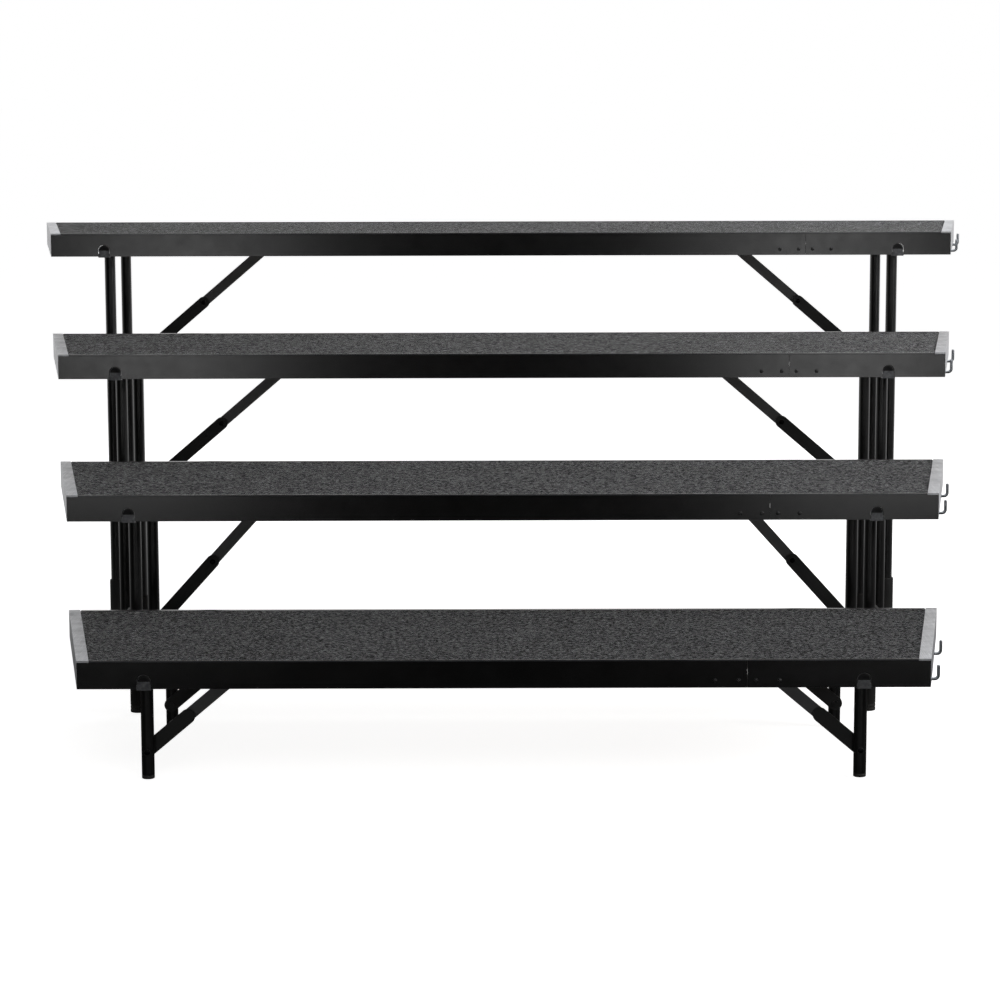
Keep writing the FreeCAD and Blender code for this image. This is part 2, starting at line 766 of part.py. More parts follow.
def upper_link(name, tier, start, way):
    """The link that turns on the bracket under the deck."""
    length = link_lengths(tier)[1]
    plane = s.link_thickness + s.link_gap
    span = layer(start, way, plane, s.link_thickness)
    past = layer(start, way, plane - 1, s.link_thickness + 2)
    head = layer(start, way, plane + s.link_thickness, s.rivet_head_height)
    solid = link_blank(name, length, s.upper_link_width, span, s.upper_link_width / 2)
    solid.append(bar_along_y(name + "_knee_head", s.rivet_head / 2, length, 0, *head))
    hole = bar_along_y(name + "_hole", s.pin_diameter / 2 + s.pin_gap, 0, 0, *past)
    return cut(name, fuse(name + "_solid", solid), [hole])


def brace_lower(tier, side, sign):
    name = f"brace_lower_{tier}_{side}"
    drop = brace_size(tier)[0]
    planes = enumerate(brace_planes(tier), start=1)
    links = [lower_link(f"{name}_{i}", tier, start, way) for i, (start, way) in planes]
    slope = brace_angle(tier)
    angle = slope if side == "left" else 180 - slope
    item = group(name, links)
    place_link(item, tier, pivot_x(tier) * sign, -s.pivot_drop - drop, -1, angle)
    return node(item, name)


def brace_upper(tier, side, sign):
    name = f"brace_upper_{tier}_{side}"
    reach = brace_size(tier)[1]
    planes = enumerate(brace_planes(tier), start=1)
    links = [upper_link(f"{name}_{i}", tier, start, way) for i, (start, way) in planes]
    slope = brace_angle(tier)
    angle = 180 - slope if side == "left" else slope
    item = group(name, links)
    place_link(item, tier, (pivot_x(tier) - reach) * sign, -s.pivot_drop, 1, angle)
    return node(item, name)


def bracket(name, tier, sign, start, way):
    """Folded bracket under the deck: base, ear, pin for the upper link, and two screw heads."""
    x = (pivot_x(tier) - brace_size(tier)[1]) * sign
    ear_offset = s.link_thickness * 2 + s.link_gap + s.side_gap
    ear = layer(start, way, ear_offset, s.bracket_wall)
    base = layer(start, way, ear_offset, s.bracket_width)
    base_z = BOARD_BOTTOM - s.bracket_wall
    half_ear = s.ear_width / 2
    half_base = s.bracket_length / 2
    pieces = [
        box(name + "_base", (x - half_base, base[0], base_z), (x + half_base, base[1], BOARD_BOTTOM)),
        box(name + "_ear", (x - half_ear, ear[0], -s.pivot_drop), (x + half_ear, ear[1], BOARD_BOTTOM)),
        bar_along_y(name + "_ear_end", half_ear, x, -s.pivot_drop, *ear),
    ]
    pin_start = s.link_thickness + s.link_gap - s.side_gap
    pin = layer(start, way, pin_start, ear_offset - pin_start + s.bracket_wall)
    head = layer(start, way, pin_start - s.rivet_head_height, s.rivet_head_height)
    pieces.append(bar_along_y(name + "_pin", s.pin_diameter / 2, x, -s.pivot_drop, *pin))
    pieces.append(bar_along_y(name + "_pin_head", s.rivet_head / 2, x, -s.pivot_drop, *head))
    middle_y = (base[0] + base[1]) / 2 + s.bracket_wall / 2 * way
    for number, shift in enumerate((-0.5, 0.5), start=1):
        spot = (x + s.bracket_screw_spacing * shift, middle_y, base_z - s.rivet_head_height)
        radius = s.bracket_screw_head / 2
        pieces.append(cylinder(f"{name}_screw_{number}", radius, spot, s.rivet_head_height))
    return fuse(name, pieces)


def brace_brackets():
    brackets = []
    for tier in TIERS:
        for side, sign in SIDES.items():
            for number, (start, way) in enumerate(brace_planes(tier), start=1):
                item = bracket(f"bracket_{tier}_{side}_{number}", tier, sign, start, way)
                brackets.append(place_with_tier(item, tier))
    return node(place(group("brace_brackets", brackets)), "brace_brackets")


def side_hook(name, y, outside):
    """A rod through the end trim, bent up at its end."""
    radius = s.hook_rod / 2
    root_x = outside - s.trim_wall - s.hook_root
    bend_x = outside + s.hook_out - s.hook_bend
    upright_x = outside + s.hook_out
    bend_z = -s.hook_drop + s.hook_bend
    rod = cylinder(name + "_rod", radius, (root_x, y, -s.hook_drop), bend_x - root_x, ALONG_X)
    bend = doc.addObject("Part::Torus", name + "_bend")
    bind(bend, Radius1=s.hook_bend, Radius2=radius)
    bend.Angle3 = 90
    place(bend, bend_x, y, bend_z, UP_FROM_X)
    upright = cylinder(name + "_upright", radius, (upright_x, y, bend_z), s.hook_rise - s.hook_bend)
    return fuse(name, [rod, bend, upright])


def gang_hooks():
    """Hooks on the right end of each tier, for the riser beside it."""
    hooks = []
    for tier in TIERS:
        for number, (y, outside) in enumerate(hook_places(tier), start=1):
            hooks.append(place_with_tier(side_hook(f"hook_{tier}_{number}", y, outside), tier))
    return node(place(group("gang_hooks", hooks)), "gang_hooks")


def catch_plan(tier, sign):
    """Plan of a catch: a foot on the rear rail, an arm, and two fingers round the next leg."""
    leg_x = pivot_x(tier + 1)
    leg_y = s.tread + s.leg_inset
    room = leg_radius(tier + 1) + s.catch_gap
    rail = REAR_FACE
    arm_in = leg_x + room
    arm_out = arm_in + s.catch_wall
    foot_x = arm_in - s.catch_foot
    plan = [
        (arm_out, rail),
        (arm_out, leg_y + room + s.catch_wall),
        (leg_x, leg_y + room + s.catch_wall),
        (leg_x, leg_y + room),
        (arm_in, leg_y + room),
        (arm_in, leg_y - room),
        (leg_x, leg_y - room),
        (leg_x, leg_y - room - s.catch_wall),
        (arm_in, leg_y - room - s.catch_wall),
        (arm_in, rail + s.catch_wall),
        (foot_x, rail + s.catch_wall),
        (foot_x, rail),
    ]
    return [(x * sign, y) for x, y in plan]


def tier_catches():
    """Bars behind each tier that hold the front legs of the tier behind it."""
    catches = []
    for tier in TIERS[:-1]:
        for side, sign in SIDES.items():
            name = f"catch_{tier}_{side}"
            bottom = -s.catch_drop - s.catch_height
            bar = prism(name, "XY_Plane", catch_plan(tier, sign), bottom, s.catch_height)
            catches.append(place_with_tier(bar, tier))
    return node(place(group("tier_catches", catches)), "tier_catches")


def build():
    for tier in TIERS:
        deck_panel(tier)
        deck_carpet(tier)
        front_rail(tier)
        rear_rail(tier)
        end_trims(tier)
        for side, sign in SIDES.items():
            leg_frame(tier, side, sign)
            leg_tips(tier, side, sign)
            brace_lower(tier, side, sign)
            brace_upper(tier, side, sign)
    edge_nosings()
    splice_plates()
    splice_screws()
    pivot_keepers()
    brace_brackets()
    gang_hooks()
    tier_catches()


def check():
    """Stop if any object failed, or any piece is empty or not valid."""
    for item in doc.Objects:
        if "Invalid" in item.State or "Error" in item.State:
            raise RuntimeError(f"{item.Name} failed: {item.State}")
    for item in nodes:
        if item.Shape.isNull() or not item.Shape.isValid() or not item.Shape.Solids:
            raise RuntimeError(f"{item.Label} has no valid solid")


def export():
    os.makedirs(PARTS_FOLDER, exist_ok=True)
    for item in nodes:
        item.Shape.exportStep(os.path.join(PARTS_FOLDER, item.Label + ".step"))
        box_of = item.Shape.BoundBox
        print(f"{item.Label}: {len(item.Shape.Solids)} solids, {item.Shape.Volume / 1000:.1f} cm3,"
              f" x {box_of.XMin:.1f} {box_of.XMax:.1f} y {box_of.YMin:.1f} {box_of.YMax:.1f}"
              f" z {box_of.ZMin:.1f} {box_of.ZMax:.1f}")


build()
doc.recompute()
check()
export()
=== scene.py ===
import math
import json

import bmesh
import bpy
import numpy as np
from mathutils import Matrix, Vector


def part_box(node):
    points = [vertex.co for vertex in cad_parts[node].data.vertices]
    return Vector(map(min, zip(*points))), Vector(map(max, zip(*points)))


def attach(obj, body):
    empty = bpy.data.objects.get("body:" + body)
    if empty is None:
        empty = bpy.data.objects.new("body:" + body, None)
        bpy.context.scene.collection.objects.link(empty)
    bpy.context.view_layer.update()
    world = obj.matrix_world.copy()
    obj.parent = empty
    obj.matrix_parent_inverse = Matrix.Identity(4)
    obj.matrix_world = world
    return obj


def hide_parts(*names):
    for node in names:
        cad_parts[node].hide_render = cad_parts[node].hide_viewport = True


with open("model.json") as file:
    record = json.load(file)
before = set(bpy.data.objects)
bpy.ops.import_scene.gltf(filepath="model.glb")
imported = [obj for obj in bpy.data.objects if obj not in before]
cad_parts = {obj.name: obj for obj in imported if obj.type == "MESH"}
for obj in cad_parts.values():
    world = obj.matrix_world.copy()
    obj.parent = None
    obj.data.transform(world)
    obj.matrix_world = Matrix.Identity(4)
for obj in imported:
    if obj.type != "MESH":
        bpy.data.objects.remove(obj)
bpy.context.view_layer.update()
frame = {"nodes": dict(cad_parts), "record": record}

bl_info = {
    "name": "Choir riser finishes",
    "version": (1, 0, 0),
    "blender": (4, 5, 0),
    "location": "3D View > Sidebar > Riser",
    "description": "Dresses a four-level folding choir riser and builds its stage",
    "category": "Object",
}

MM = 0.001
TIERS = (1, 2, 3, 4)
SIDES = ("left", "right")
PIVOT_RADIUS = 11.2 * MM
CROSS_RADIUS = 8.0 * MM
LEG_RADIUS = {1: 10.5 * MM, 2: 11.0 * MM, 3: 11.0 * MM, 4: 11.0 * MM}


def linear(code):
    """Linear colour of an sRGB hex value."""
    parts = [int(code[i:i + 2], 16) / 255 for i in (1, 3, 5)]
    return [c / 12.92 if c <= 0.04045 else ((c + 0.055) / 1.055) ** 2.4 for c in parts]


# Materials


def add(tree, kind, sockets=None, stops=(), **properties):
    """Add a node with its properties, its sockets and, for a ramp, its stops.

    A socket's value is another node's output to link, or a number or colour to set.
    """
    made = tree.nodes.new(kind)
    for name, value in properties.items():
        setattr(made, name, value)
    for name, value in (sockets or {}).items():
        socket = made.inputs[name]
        if isinstance(value, bpy.types.NodeSocket):
            tree.links.new(value, socket)
        elif socket.type == "RGBA":
            socket.default_value = (*value, 1)
        else:
            socket.default_value = value
    if stops:
        points = made.color_ramp.elements
        while len(points) < len(stops):
            points.new(0.5)
        for point, (where, level) in zip(points, stops):
            point.position = where
            point.color = (*level, 1) if hasattr(level, "__len__") else (level, level, level, 1)
    return made


def blank_material(name):
    """A material with an empty tree."""
    made = bpy.data.materials.new(name)
    made.use_nodes = True
    made.node_tree.nodes.clear()
    return made, made.node_tree


def needled_carpet(name, base, dark, light):
    """Needle-punched polypropylene felt: matt, heathered from black and grey fibres."""
    made, tree = blank_material(name)
    place = add(tree, "ShaderNodeTexCoord").outputs["Object"]
    # Tufts of one shade, drawn 6 mm wide so that they show
    tufts = add(
        tree, "ShaderNodeTexNoise",
        {"Vector": place, "Scale": 1 / (6 * MM), "Detail": 2.0, "Roughness": 0.75},
    )
    shades = [(0.36, dark), (0.50, base), (0.64, light)]
    heather = add(tree, "ShaderNodeValToRGB", {"Fac": tufts.outputs["Fac"]}, shades)
    # Clouds about 70 mm wide where the felt is trodden flat
    clouds = add(
        tree, "ShaderNodeTexNoise",
        {"Vector": place, "Scale": 1 / (70 * MM), "Detail": 3.0, "Roughness": 0.55},
    )
    trodden = add(tree, "ShaderNodeValToRGB", {"Fac": clouds.outputs["Fac"]}, [(0.3, 0.78), (0.7, 1.0)])
    colour = add(
        tree, "ShaderNodeMix",
        {0: 1.0, 6: heather.outputs["Color"], 7: trodden.outputs["Color"]},
        data_type="RGBA", blend_type="MULTIPLY",
    )
    # Fibre ends, 1.2 mm apart
    fibres = add(
        tree, "ShaderNodeTexNoise",
        {"Vector": place, "Scale": 1 / (1.2 * MM), "Detail": 2.0, "Roughness": 0.7},
    )
    felt = add(
        tree, "ShaderNodeBump",
        {"Height": fibres.outputs["Fac"], "Distance": 0.9 * MM, "Strength": 0.8},
    )
    # Pale fibres stand up and catch more light along the surface
    fuzz = add(
        tree, "ShaderNodeMapRange",
        {"Value": tufts.outputs["Fac"], "From Min": 0.36, "From Max": 0.64,
         "To Min": 0.04, "To Max": 0.92},
    )
    surface = add(
        tree, "ShaderNodeBsdfPrincipled",
        {
            "Base Color": colour.outputs[2], "Roughness": 0.95, "Specular IOR Level": 0.08,
            "Sheen Weight": fuzz.outputs[0], "Sheen Roughness": 0.14, "Normal": felt.outputs[0],
        },
    )
    add(tree, "ShaderNodeOutputMaterial", {"Surface": surface.outputs[0]})
    return made


def powder_coat(name, base, dusty, rubbed, roughness):
    """Powder coat on steel: satin, with orange peel, thin dust, and edges rubbed grey."""
    made, tree = blank_material(name)
    place = add(tree, "ShaderNodeTexCoord").outputs["Object"]
    # Dust in drifts about 90 mm long
    drifts = add(
        tree, "ShaderNodeTexNoise",
        {"Vector": place, "Scale": 1 / (90 * MM), "Detail": 5.0, "Roughness": 0.65},
    )
    dust = add(tree, "ShaderNodeValToRGB", {"Fac": drifts.outputs["Fac"]}, [(0.42, 0.0), (0.75, 1.0)])
    coat = add(
        tree, "ShaderNodeMix",
        {0: dust.outputs["Color"], 6: base, 7: dusty}, data_type="RGBA",
    )
    # Within 1.2 mm of an edge the rounded normal leans away from the face's own
    rounded = add(tree, "ShaderNodeBevel", {"Radius": 1.2 * MM}, samples=4)
    face = add(tree, "ShaderNodeNewGeometry")
    lean = add(
        tree, "ShaderNodeVectorMath",
        {0: rounded.outputs[0], 1: face.outputs["Normal"]}, operation="DOT_PRODUCT",
    )
    edge = add(tree, "ShaderNodeValToRGB", {"Fac": lean.outputs["Value"]}, [(0.82, 1.0), (0.97, 0.0)])
    # The rubbing comes and goes every 25 mm
    patches = add(
        tree, "ShaderNodeTexNoise",
        {"Vector": place, "Scale": 1 / (25 * MM), "Detail": 4.0, "Roughness": 0.7},
    )
    worn = add(
        tree, "ShaderNodeMath",
        {0: edge.outputs["Color"], 1: patches.outputs["Fac"]}, operation="MULTIPLY",
    )
    colour = add(
        tree, "ShaderNodeMix",
        {0: worn.outputs[0], 6: coat.outputs[2], 7: rubbed}, data_type="RGBA",
    )
    gloss = add(
        tree, "ShaderNodeMapRange",
        {"Value": patches.outputs["Fac"], "From Min": 0.3, "From Max": 0.7,
         "To Min": roughness - 0.02, "To Max": roughness + 0.03},
    )
    # A rubbed edge is rougher
    scuffed = add(
        tree, "ShaderNodeMath",
        {0: worn.outputs[0], 1: 0.45, 2: gloss.outputs[0]}, operation="MULTIPLY_ADD",
    )
    # Orange peel, 1.6 mm from crest to crest
    peel = add(
        tree, "ShaderNodeTexNoise",
        {"Vector": place, "Scale": 1 / (1.6 * MM), "Detail": 1.0},
    )
    skin = add(
        tree, "ShaderNodeBump",
        {"Height": peel.outputs["Fac"], "Distance": 0.05 * MM, "Strength": 0.5},
    )
    surface = add(
        tree, "ShaderNodeBsdfPrincipled",
        {"Base Color": colour.outputs[2], "Roughness": scuffed.outputs[0], "Normal": skin.outputs[0]},
    )
    add(tree, "ShaderNodeOutputMaterial", {"Surface": surface.outputs[0]})
    return made


def mill_aluminium(name, base, dull, bright, stretch):
    """Extruded aluminium as it came from the die: fine lines along it, grey handling marks."""
    made, tree = blank_material(name)
    place = add(tree, "ShaderNodeTexCoord").outputs["Object"]
    # Die lines 1 mm apart, drawn long along the piece
    drawn = add(tree, "ShaderNodeMapping", {"Vector": place, "Scale": stretch})
    lines = add(
        tree, "ShaderNodeTexNoise",
        {"Vector": drawn.outputs[0], "Scale": 1 / (1 * MM), "Detail": 3.0, "Roughness": 0.6},
    )
    # Handling marks about 40 mm wide
    marks = add(
        tree, "ShaderNodeTexNoise",
        {"Vector": place, "Scale": 1 / (40 * MM), "Detail": 6.0, "Roughness": 0.7},
    )
    handled = add(tree, "ShaderNodeValToRGB", {"Fac": marks.outputs["Fac"]}, [(0.40, 0.0), (0.72, 1.0)])
    metal = add(
        tree, "ShaderNodeMix",
        {0: handled.outputs["Color"], 6: base, 7: dull}, data_type="RGBA",
    )
    streak = add(tree, "ShaderNodeValToRGB", {"Fac": lines.outputs["Fac"]}, [(0.52, 0.0), (0.72, 0.5)])
    colour = add(
        tree, "ShaderNodeMix",
        {0: streak.outputs["Color"], 6: metal.outputs[2], 7: bright}, data_type="RGBA",
    )
    gloss = add(
        tree, "ShaderNodeMapRange",
        {"Value": marks.outputs["Fac"], "From Min": 0.3, "From Max": 0.7,
         "To Min": 0.34, "To Max": 0.50},
    )
    ridges = add(
        tree, "ShaderNodeBump",
        {"Height": lines.outputs["Fac"], "Distance": 0.06 * MM, "Strength": 0.6},
    )
    surface = add(
        tree, "ShaderNodeBsdfPrincipled",
        {
            "Base Color": colour.outputs[2], "Metallic": 0.9,
            "Roughness": gloss.outputs[0], "Normal": ridges.outputs[0],
        },
    )
    add(tree, "ShaderNodeOutputMaterial", {"Surface": surface.outputs[0]})
    return made


def black_anodised(name, base, faded):
    """Black anodised aluminium: satin, faintly lined along the strip, faded by shoes."""
    made, tree = blank_material(name)
    place = add(tree, "ShaderNodeTexCoord").outputs["Object"]
    # Die lines 1 mm apart, drawn long across the tier
    drawn = add(tree, "ShaderNodeMapping", {"Vector": place, "Scale": (0.012, 1.0, 1.0)})
    lines = add(
        tree, "ShaderNodeTexNoise",
        {"Vector": drawn.outputs[0], "Scale": 1 / (1 * MM), "Detail": 3.0, "Roughness": 0.6},
    )
    # Faded stretches about 120 mm long
    steps = add(
        tree, "ShaderNodeTexNoise",
        {"Vector": place, "Scale": 1 / (120 * MM), "Detail": 5.0, "Roughness": 0.7},
    )
    fade = add(tree, "ShaderNodeValToRGB", {"Fac": steps.outputs["Fac"]}, [(0.45, 0.0), (0.75, 1.0)])
    colour = add(
        tree, "ShaderNodeMix",
        {0: fade.outputs["Color"], 6: base, 7: faded}, data_type="RGBA",
    )
    gloss = add(
        tree, "ShaderNodeMapRange",
        {"Value": steps.outputs["Fac"], "From Min": 0.3, "From Max": 0.7,
         "To Min": 0.15, "To Max": 0.24},
    )
    ridges = add(
        tree, "ShaderNodeBump",
        {"Height": lines.outputs["Fac"], "Distance": 0.06 * MM, "Strength": 0.3},
    )
    surface = add(
        tree, "ShaderNodeBsdfPrincipled",
        {"Base Color": colour.outputs[2], "Roughness": gloss.outputs[0], "Normal": ridges.outputs[0]},
    )
    add(tree, "ShaderNodeOutputMaterial", {"Surface": surface.outputs[0]})
    return made


def zinc_plate(name, base, dull, roughness):
    """Zinc plate on steel: soft mottling where the bath drained, and fine scuffs."""
    made, tree = blank_material(name)
    place = add(tree, "ShaderNodeTexCoord").outputs["Object"]
    # Mottling about 6 mm wide
    mottle = add(
        tree, "ShaderNodeTexNoise",
        {"Vector": place, "Scale": 1 / (6 * MM), "Detail": 4.0, "Roughness": 0.6},
    )
    spots = add(tree, "ShaderNodeValToRGB", {"Fac": mottle.outputs["Fac"]}, [(0.35, 0.0), (0.68, 1.0)])
    colour = add(
        tree, "ShaderNodeMix",
        {0: spots.outputs["Color"], 6: base, 7: dull}, data_type="RGBA",
    )
    gloss = add(
        tree, "ShaderNodeMapRange",
        {"Value": mottle.outputs["Fac"], "From Min": 0.3, "From Max": 0.7,
         "To Min": roughness - 0.06, "To Max": roughness + 0.08},
    )
    # Scuffs 0.8 mm apart
    scuffs = add(
        tree, "ShaderNodeTexNoise",
        {"Vector": place, "Scale": 1 / (0.8 * MM), "Detail": 2.0},
    )
    skin = add(
        tree, "ShaderNodeBump",
        {"Height": scuffs.outputs["Fac"], "Distance": 0.04 * MM, "Strength": 0.5},
    )
    surface = add(
        tree, "ShaderNodeBsdfPrincipled",
        {
            "Base Color": colour.outputs[2], "Metallic": 0.95,
            "Roughness": gloss.outputs[0], "Normal": skin.outputs[0],
        },
    )
    add(tree, "ShaderNodeOutputMaterial", {"Surface": surface.outputs[0]})
    return made


def moulded_rubber(name, base, dusty, roughness):
    """Moulded rubber: matt black, greyed by floor dust towards the sole."""
    made, tree = blank_material(name)
    place = add(tree, "ShaderNodeTexCoord").outputs["Object"]
    height = add(tree, "ShaderNodeSeparateXYZ", {"Vector": place}).outputs["Z"]
    low = add(
        tree, "ShaderNodeMapRange",
        {"Value": height, "From Max": 50 * MM, "To Min": 0.8, "To Max": 0.05},
    )
    # Dust specks 2 mm wide
    specks = add(
        tree, "ShaderNodeTexNoise",
        {"Vector": place, "Scale": 1 / (2 * MM), "Detail": 5.0, "Roughness": 0.75},
    )
    share = add(
        tree, "ShaderNodeMath",
        {0: low.outputs[0], 1: specks.outputs["Fac"]}, operation="MULTIPLY",
    )
    colour = add(
        tree, "ShaderNodeMix",
        {0: share.outputs[0], 6: base, 7: dusty}, data_type="RGBA",
    )
    grain = add(
        tree, "ShaderNodeBump",
        {"Height": specks.outputs["Fac"], "Distance": 0.08 * MM, "Strength": 0.6},
    )
    surface = add(
        tree, "ShaderNodeBsdfPrincipled",
        {
            "Base Color": colour.outputs[2], "Roughness": roughness,
            "Specular IOR Level": 0.35, "Normal": grain.outputs[0],
        },
    )
    add(tree, "ShaderNodeOutputMaterial", {"Surface": surface.outputs[0]})
    return made


def birch_plywood(name, pale, dark, glue, sealed):
    """Birch plywood: long grain on its faces, and sealed edges whose 1.7 mm plies show."""
    made, tree = blank_material(name)
    place = add(tree, "ShaderNodeTexCoord").outputs["Object"]
    # Grain 5 mm wide, drawn long across the tier
    drawn = add(tree, "ShaderNodeMapping", {"Vector": place, "Scale": (0.04, 1.0, 1.0)})
    grain = add(
        tree, "ShaderNodeTexNoise",
        {"Vector": drawn.outputs[0], "Scale": 1 / (5 * MM), "Detail": 5.0, "Roughness": 0.65,
         "Distortion": 0.4},
    )
    faces = add(tree, "ShaderNodeValToRGB", {"Fac": grain.outputs["Fac"]}, [(0.32, dark), (0.62, pale)])
    plies = add(
        tree, "ShaderNodeTexWave",
        {"Vector": place, "Scale": math.pi / 10 / (3.4 * MM)}, bands_direction="Z",
    )
    edges = add(tree, "ShaderNodeValToRGB", {"Fac": plies.outputs["Fac"]}, [(0.25, glue), (0.6, sealed)])
    normal = add(tree, "ShaderNodeNewGeometry").outputs["Normal"]
    upright = add(tree, "ShaderNodeSeparateXYZ", {"Vector": normal}).outputs["Z"]
    flat = add(tree, "ShaderNodeMath", {0: upright}, operation="ABSOLUTE")
    colour = add(
        tree, "ShaderNodeMix",
        {0: flat.outputs[0], 6: edges.outputs["Color"], 7: faces.outputs["Color"]}, data_type="RGBA",
    )
    sanded = add(
        tree, "ShaderNodeBump",
        {"Height": grain.outputs["Fac"], "Distance": 0.12 * MM, "Strength": 0.5},
    )
    surface = add(
        tree, "ShaderNodeBsdfPrincipled",
        {"Base Color": colour.outputs[2], "Roughness": 0.62, "Normal": sanded.outputs[0]},
    )
    add(tree, "ShaderNodeOutputMaterial", {"Surface": surface.outputs[0]})
    return made


# Each finish: its maker, the settings that hold its colours, and its other values
FINISHES = {
    "needled_carpet": (needled_carpet, ("carpet", "carpet_dark", "carpet_light"), ()),
    "powder_coat_rail": (powder_coat, ("black", "black_dusty", "black_rubbed"), (0.21,)),
    "powder_coat_tube": (powder_coat, ("black", "black_dusty", "black_rubbed"), (0.32,)),
    # The links at the deck are black like the lower links; their grey coat is painted light, standing in
    # for the light they catch.
    "powder_coat_link": (powder_coat, ("grey", "grey_dusty", "black_rubbed"), (0.40,)),
    "powder_coat_dull": (powder_coat, ("black", "black_dusty", "black_rubbed"), (0.58,)),
    "aluminium_trim": (
        mill_aluminium, ("aluminium", "aluminium_dull", "aluminium_bright"), ((1.0, 0.012, 1.0),)
    ),
    "nosing_anodised": (black_anodised, ("nosing", "nosing_faded"), ()),
    "zinc_plate": (zinc_plate, ("zinc", "zinc_dull"), (0.34,)),
    "keeper_zinc": (zinc_plate, ("keeper", "keeper_dull"), (0.44,)),
    "black_zinc": (zinc_plate, ("rivet", "black"), (0.44,)),
    "moulded_rubber": (moulded_rubber, ("rubber", "rubber_dust"), (0.72,)),
    # Black plastic of the pivot plugs, which partly paint the shade in the open tube ends.
    "moulded_plastic": (moulded_rubber, ("black", "black_dusty"), (0.60,)),
    "birch_plywood": (birch_plywood, ("plywood", "plywood_dark", "plywood_glue", "plywood_sealed"), ()),
}


def material(kind):
    """A finish, made from the scene's settings when it is first used."""
    found = bpy.data.materials.get(kind)
    if found:
        return found
    maker, colours, values = FINISHES[kind]
    settings = bpy.context.scene.riser_finish
    return maker(kind, *[tuple(getattr(settings, colour)) for colour in colours], *values)


def finish_node(node, kind):
    """Give a CAD node its material."""
    for item in frame["nodes"][node].material_slots:
        item.material = material(kind)


# Shapes


def finished(name, points, faces, kind, body, sharp=40):
    """A mesh piece with its material, sharp edges, body and material slot."""
    mesh = bpy.data.meshes.new(name)
    mesh.from_pydata(points.tolist(), [], faces)
    shape = bmesh.new()
    shape.from_mesh(mesh)
    bmesh.ops.recalc_face_normals(shape, faces=shape.faces)
    shape.to_mesh(mesh)
    shape.free()
    mesh.shade_smooth()
    mesh.set_sharp_from_angle(angle=math.radians(sharp))
    mesh.materials.append(material(kind))
    piece = bpy.data.objects.new(name, mesh)
    bpy.context.scene.collection.objects.link(piece)
    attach(piece, body)
    return piece


def joined(name, parts, kind, body, sharp=40):
    """One piece from several (points, faces) pairs."""
    points = np.concatenate([part[0] for part in parts])
    faces = []
    start = 0
    for part_points, part_faces in parts:
        faces += [[i + start for i in face] for face in part_faces]
        start += len(part_points)
    return finished(name, points, faces, kind, body, sharp)


def ring_faces(rings, width, closed_along=False):
    """Quads between rings of points that close on themselves, with the end rings filled."""
    index = np.arange(rings * width).reshape(rings, width)
    beside = np.roll(index, -1, axis=1)
    if closed_along:
        quads = [index, beside, np.roll(beside, -1, axis=0), np.roll(index, -1, axis=0)]
        return np.stack(quads, -1).reshape(-1, 4).tolist()
    quads = [index[:-1], beside[:-1], beside[1:], index[1:]]
    faces = np.stack(quads, -1).reshape(-1, 4).tolist()
    return faces + [index[0, ::-1].tolist(), index[-1].tolist()]


def turned(profile, centre, axis, sides=32):
    """A turned shape: (radius, height) pairs swept once round an axis through centre.

    A point is centre + height * axis + radius * (cos t * u + sin t * v), for t round the
    circle, with u and v across the axis.
    """
    axis = np.array(axis, float)
    u = np.cross(axis, (0.0, 0.0, 1.0) if abs(axis[2]) < 0.9 else (1.0, 0.0, 0.0))
    u /= np.linalg.norm(u)
    v = np.cross(axis, u)
    angle = np.linspace(0, 2 * np.pi, sides, endpoint=False)
    circle = np.cos(angle)[:, None] * u + np.sin(angle)[:, None] * v
    radius, height = np.array(profile, float).T
    points = np.array(centre) + height[:, None, None] * axis + radius[:, None, None] * circle
    return points.reshape(-1, 3), ring_faces(len(radius), sides)


def rivet_dome(centre, axis, radius, height):
    """A snap-headed rivet: radius * cos(t) across and height * sin(t) along, t to 85 degrees.

    It starts 0.1 mm under its seat with a straight rim.
    """
    t = np.linspace(0, np.radians(85), 9)
    dome = np.stack([radius * np.cos(t), height * np.sin(t)], -1)
    rim = np.array([[radius, -0.1 * MM]])
    return turned(np.concatenate([rim, dome]), centre, axis, 28)


def unit(vectors):
    """Each row over its own length."""
    return vectors / np.linalg.norm(vectors, axis=1, keepdims=True)


def bead(path, outward, radius, ripples):
    """A weld bead: a round tube along a closed path, swollen by ripples.

    A point is path + r * (cos t * outward + sin t * sideways), with sideways square to the
    path and to outward, and r = radius * (1 + 0.15 * cos(ripples * s)) along the path.
    """
    tangent = unit(np.roll(path, -1, axis=0) - np.roll(path, 1, axis=0))
    sideways = unit(np.cross(tangent, outward))
    along = np.linspace(0, 2 * np.pi, len(path), endpoint=False)
    swell = radius * (1 + 0.15 * np.cos(ripples * along))[:, None, None]
    angle = np.linspace(0, 2 * np.pi, 8, endpoint=False)[None, :, None]
    ring = np.cos(angle) * outward[:, None] + np.sin(angle) * sideways[:, None]
    points = path[:, None] + swell * ring
    return points.reshape(-1, 3), ring_faces(len(path), 8, closed_along=True)


def solids_of(node):
    """Middle and half size of each separate solid of a CAD node, from its own corners."""
    shape = bmesh.new()
    shape.from_mesh(frame["nodes"][node].data)
    bmesh.ops.remove_doubles(shape, verts=shape.verts, dist=1e-6)
    left = set(shape.verts)
    found = []
    while left:
        group = [left.pop()]
        for vertex in group:
            for edge in vertex.link_edges:
                other = edge.other_vert(vertex)
                if other in left:
                    left.remove(other)
                    group.append(other)
        points = np.array([vertex.co[:] for vertex in group])
        found.append(((points.min(0) + points.max(0)) / 2, (points.max(0) - points.min(0)) / 2))
    shape.free()
    return sorted(found, key=lambda item: tuple(item[0]))


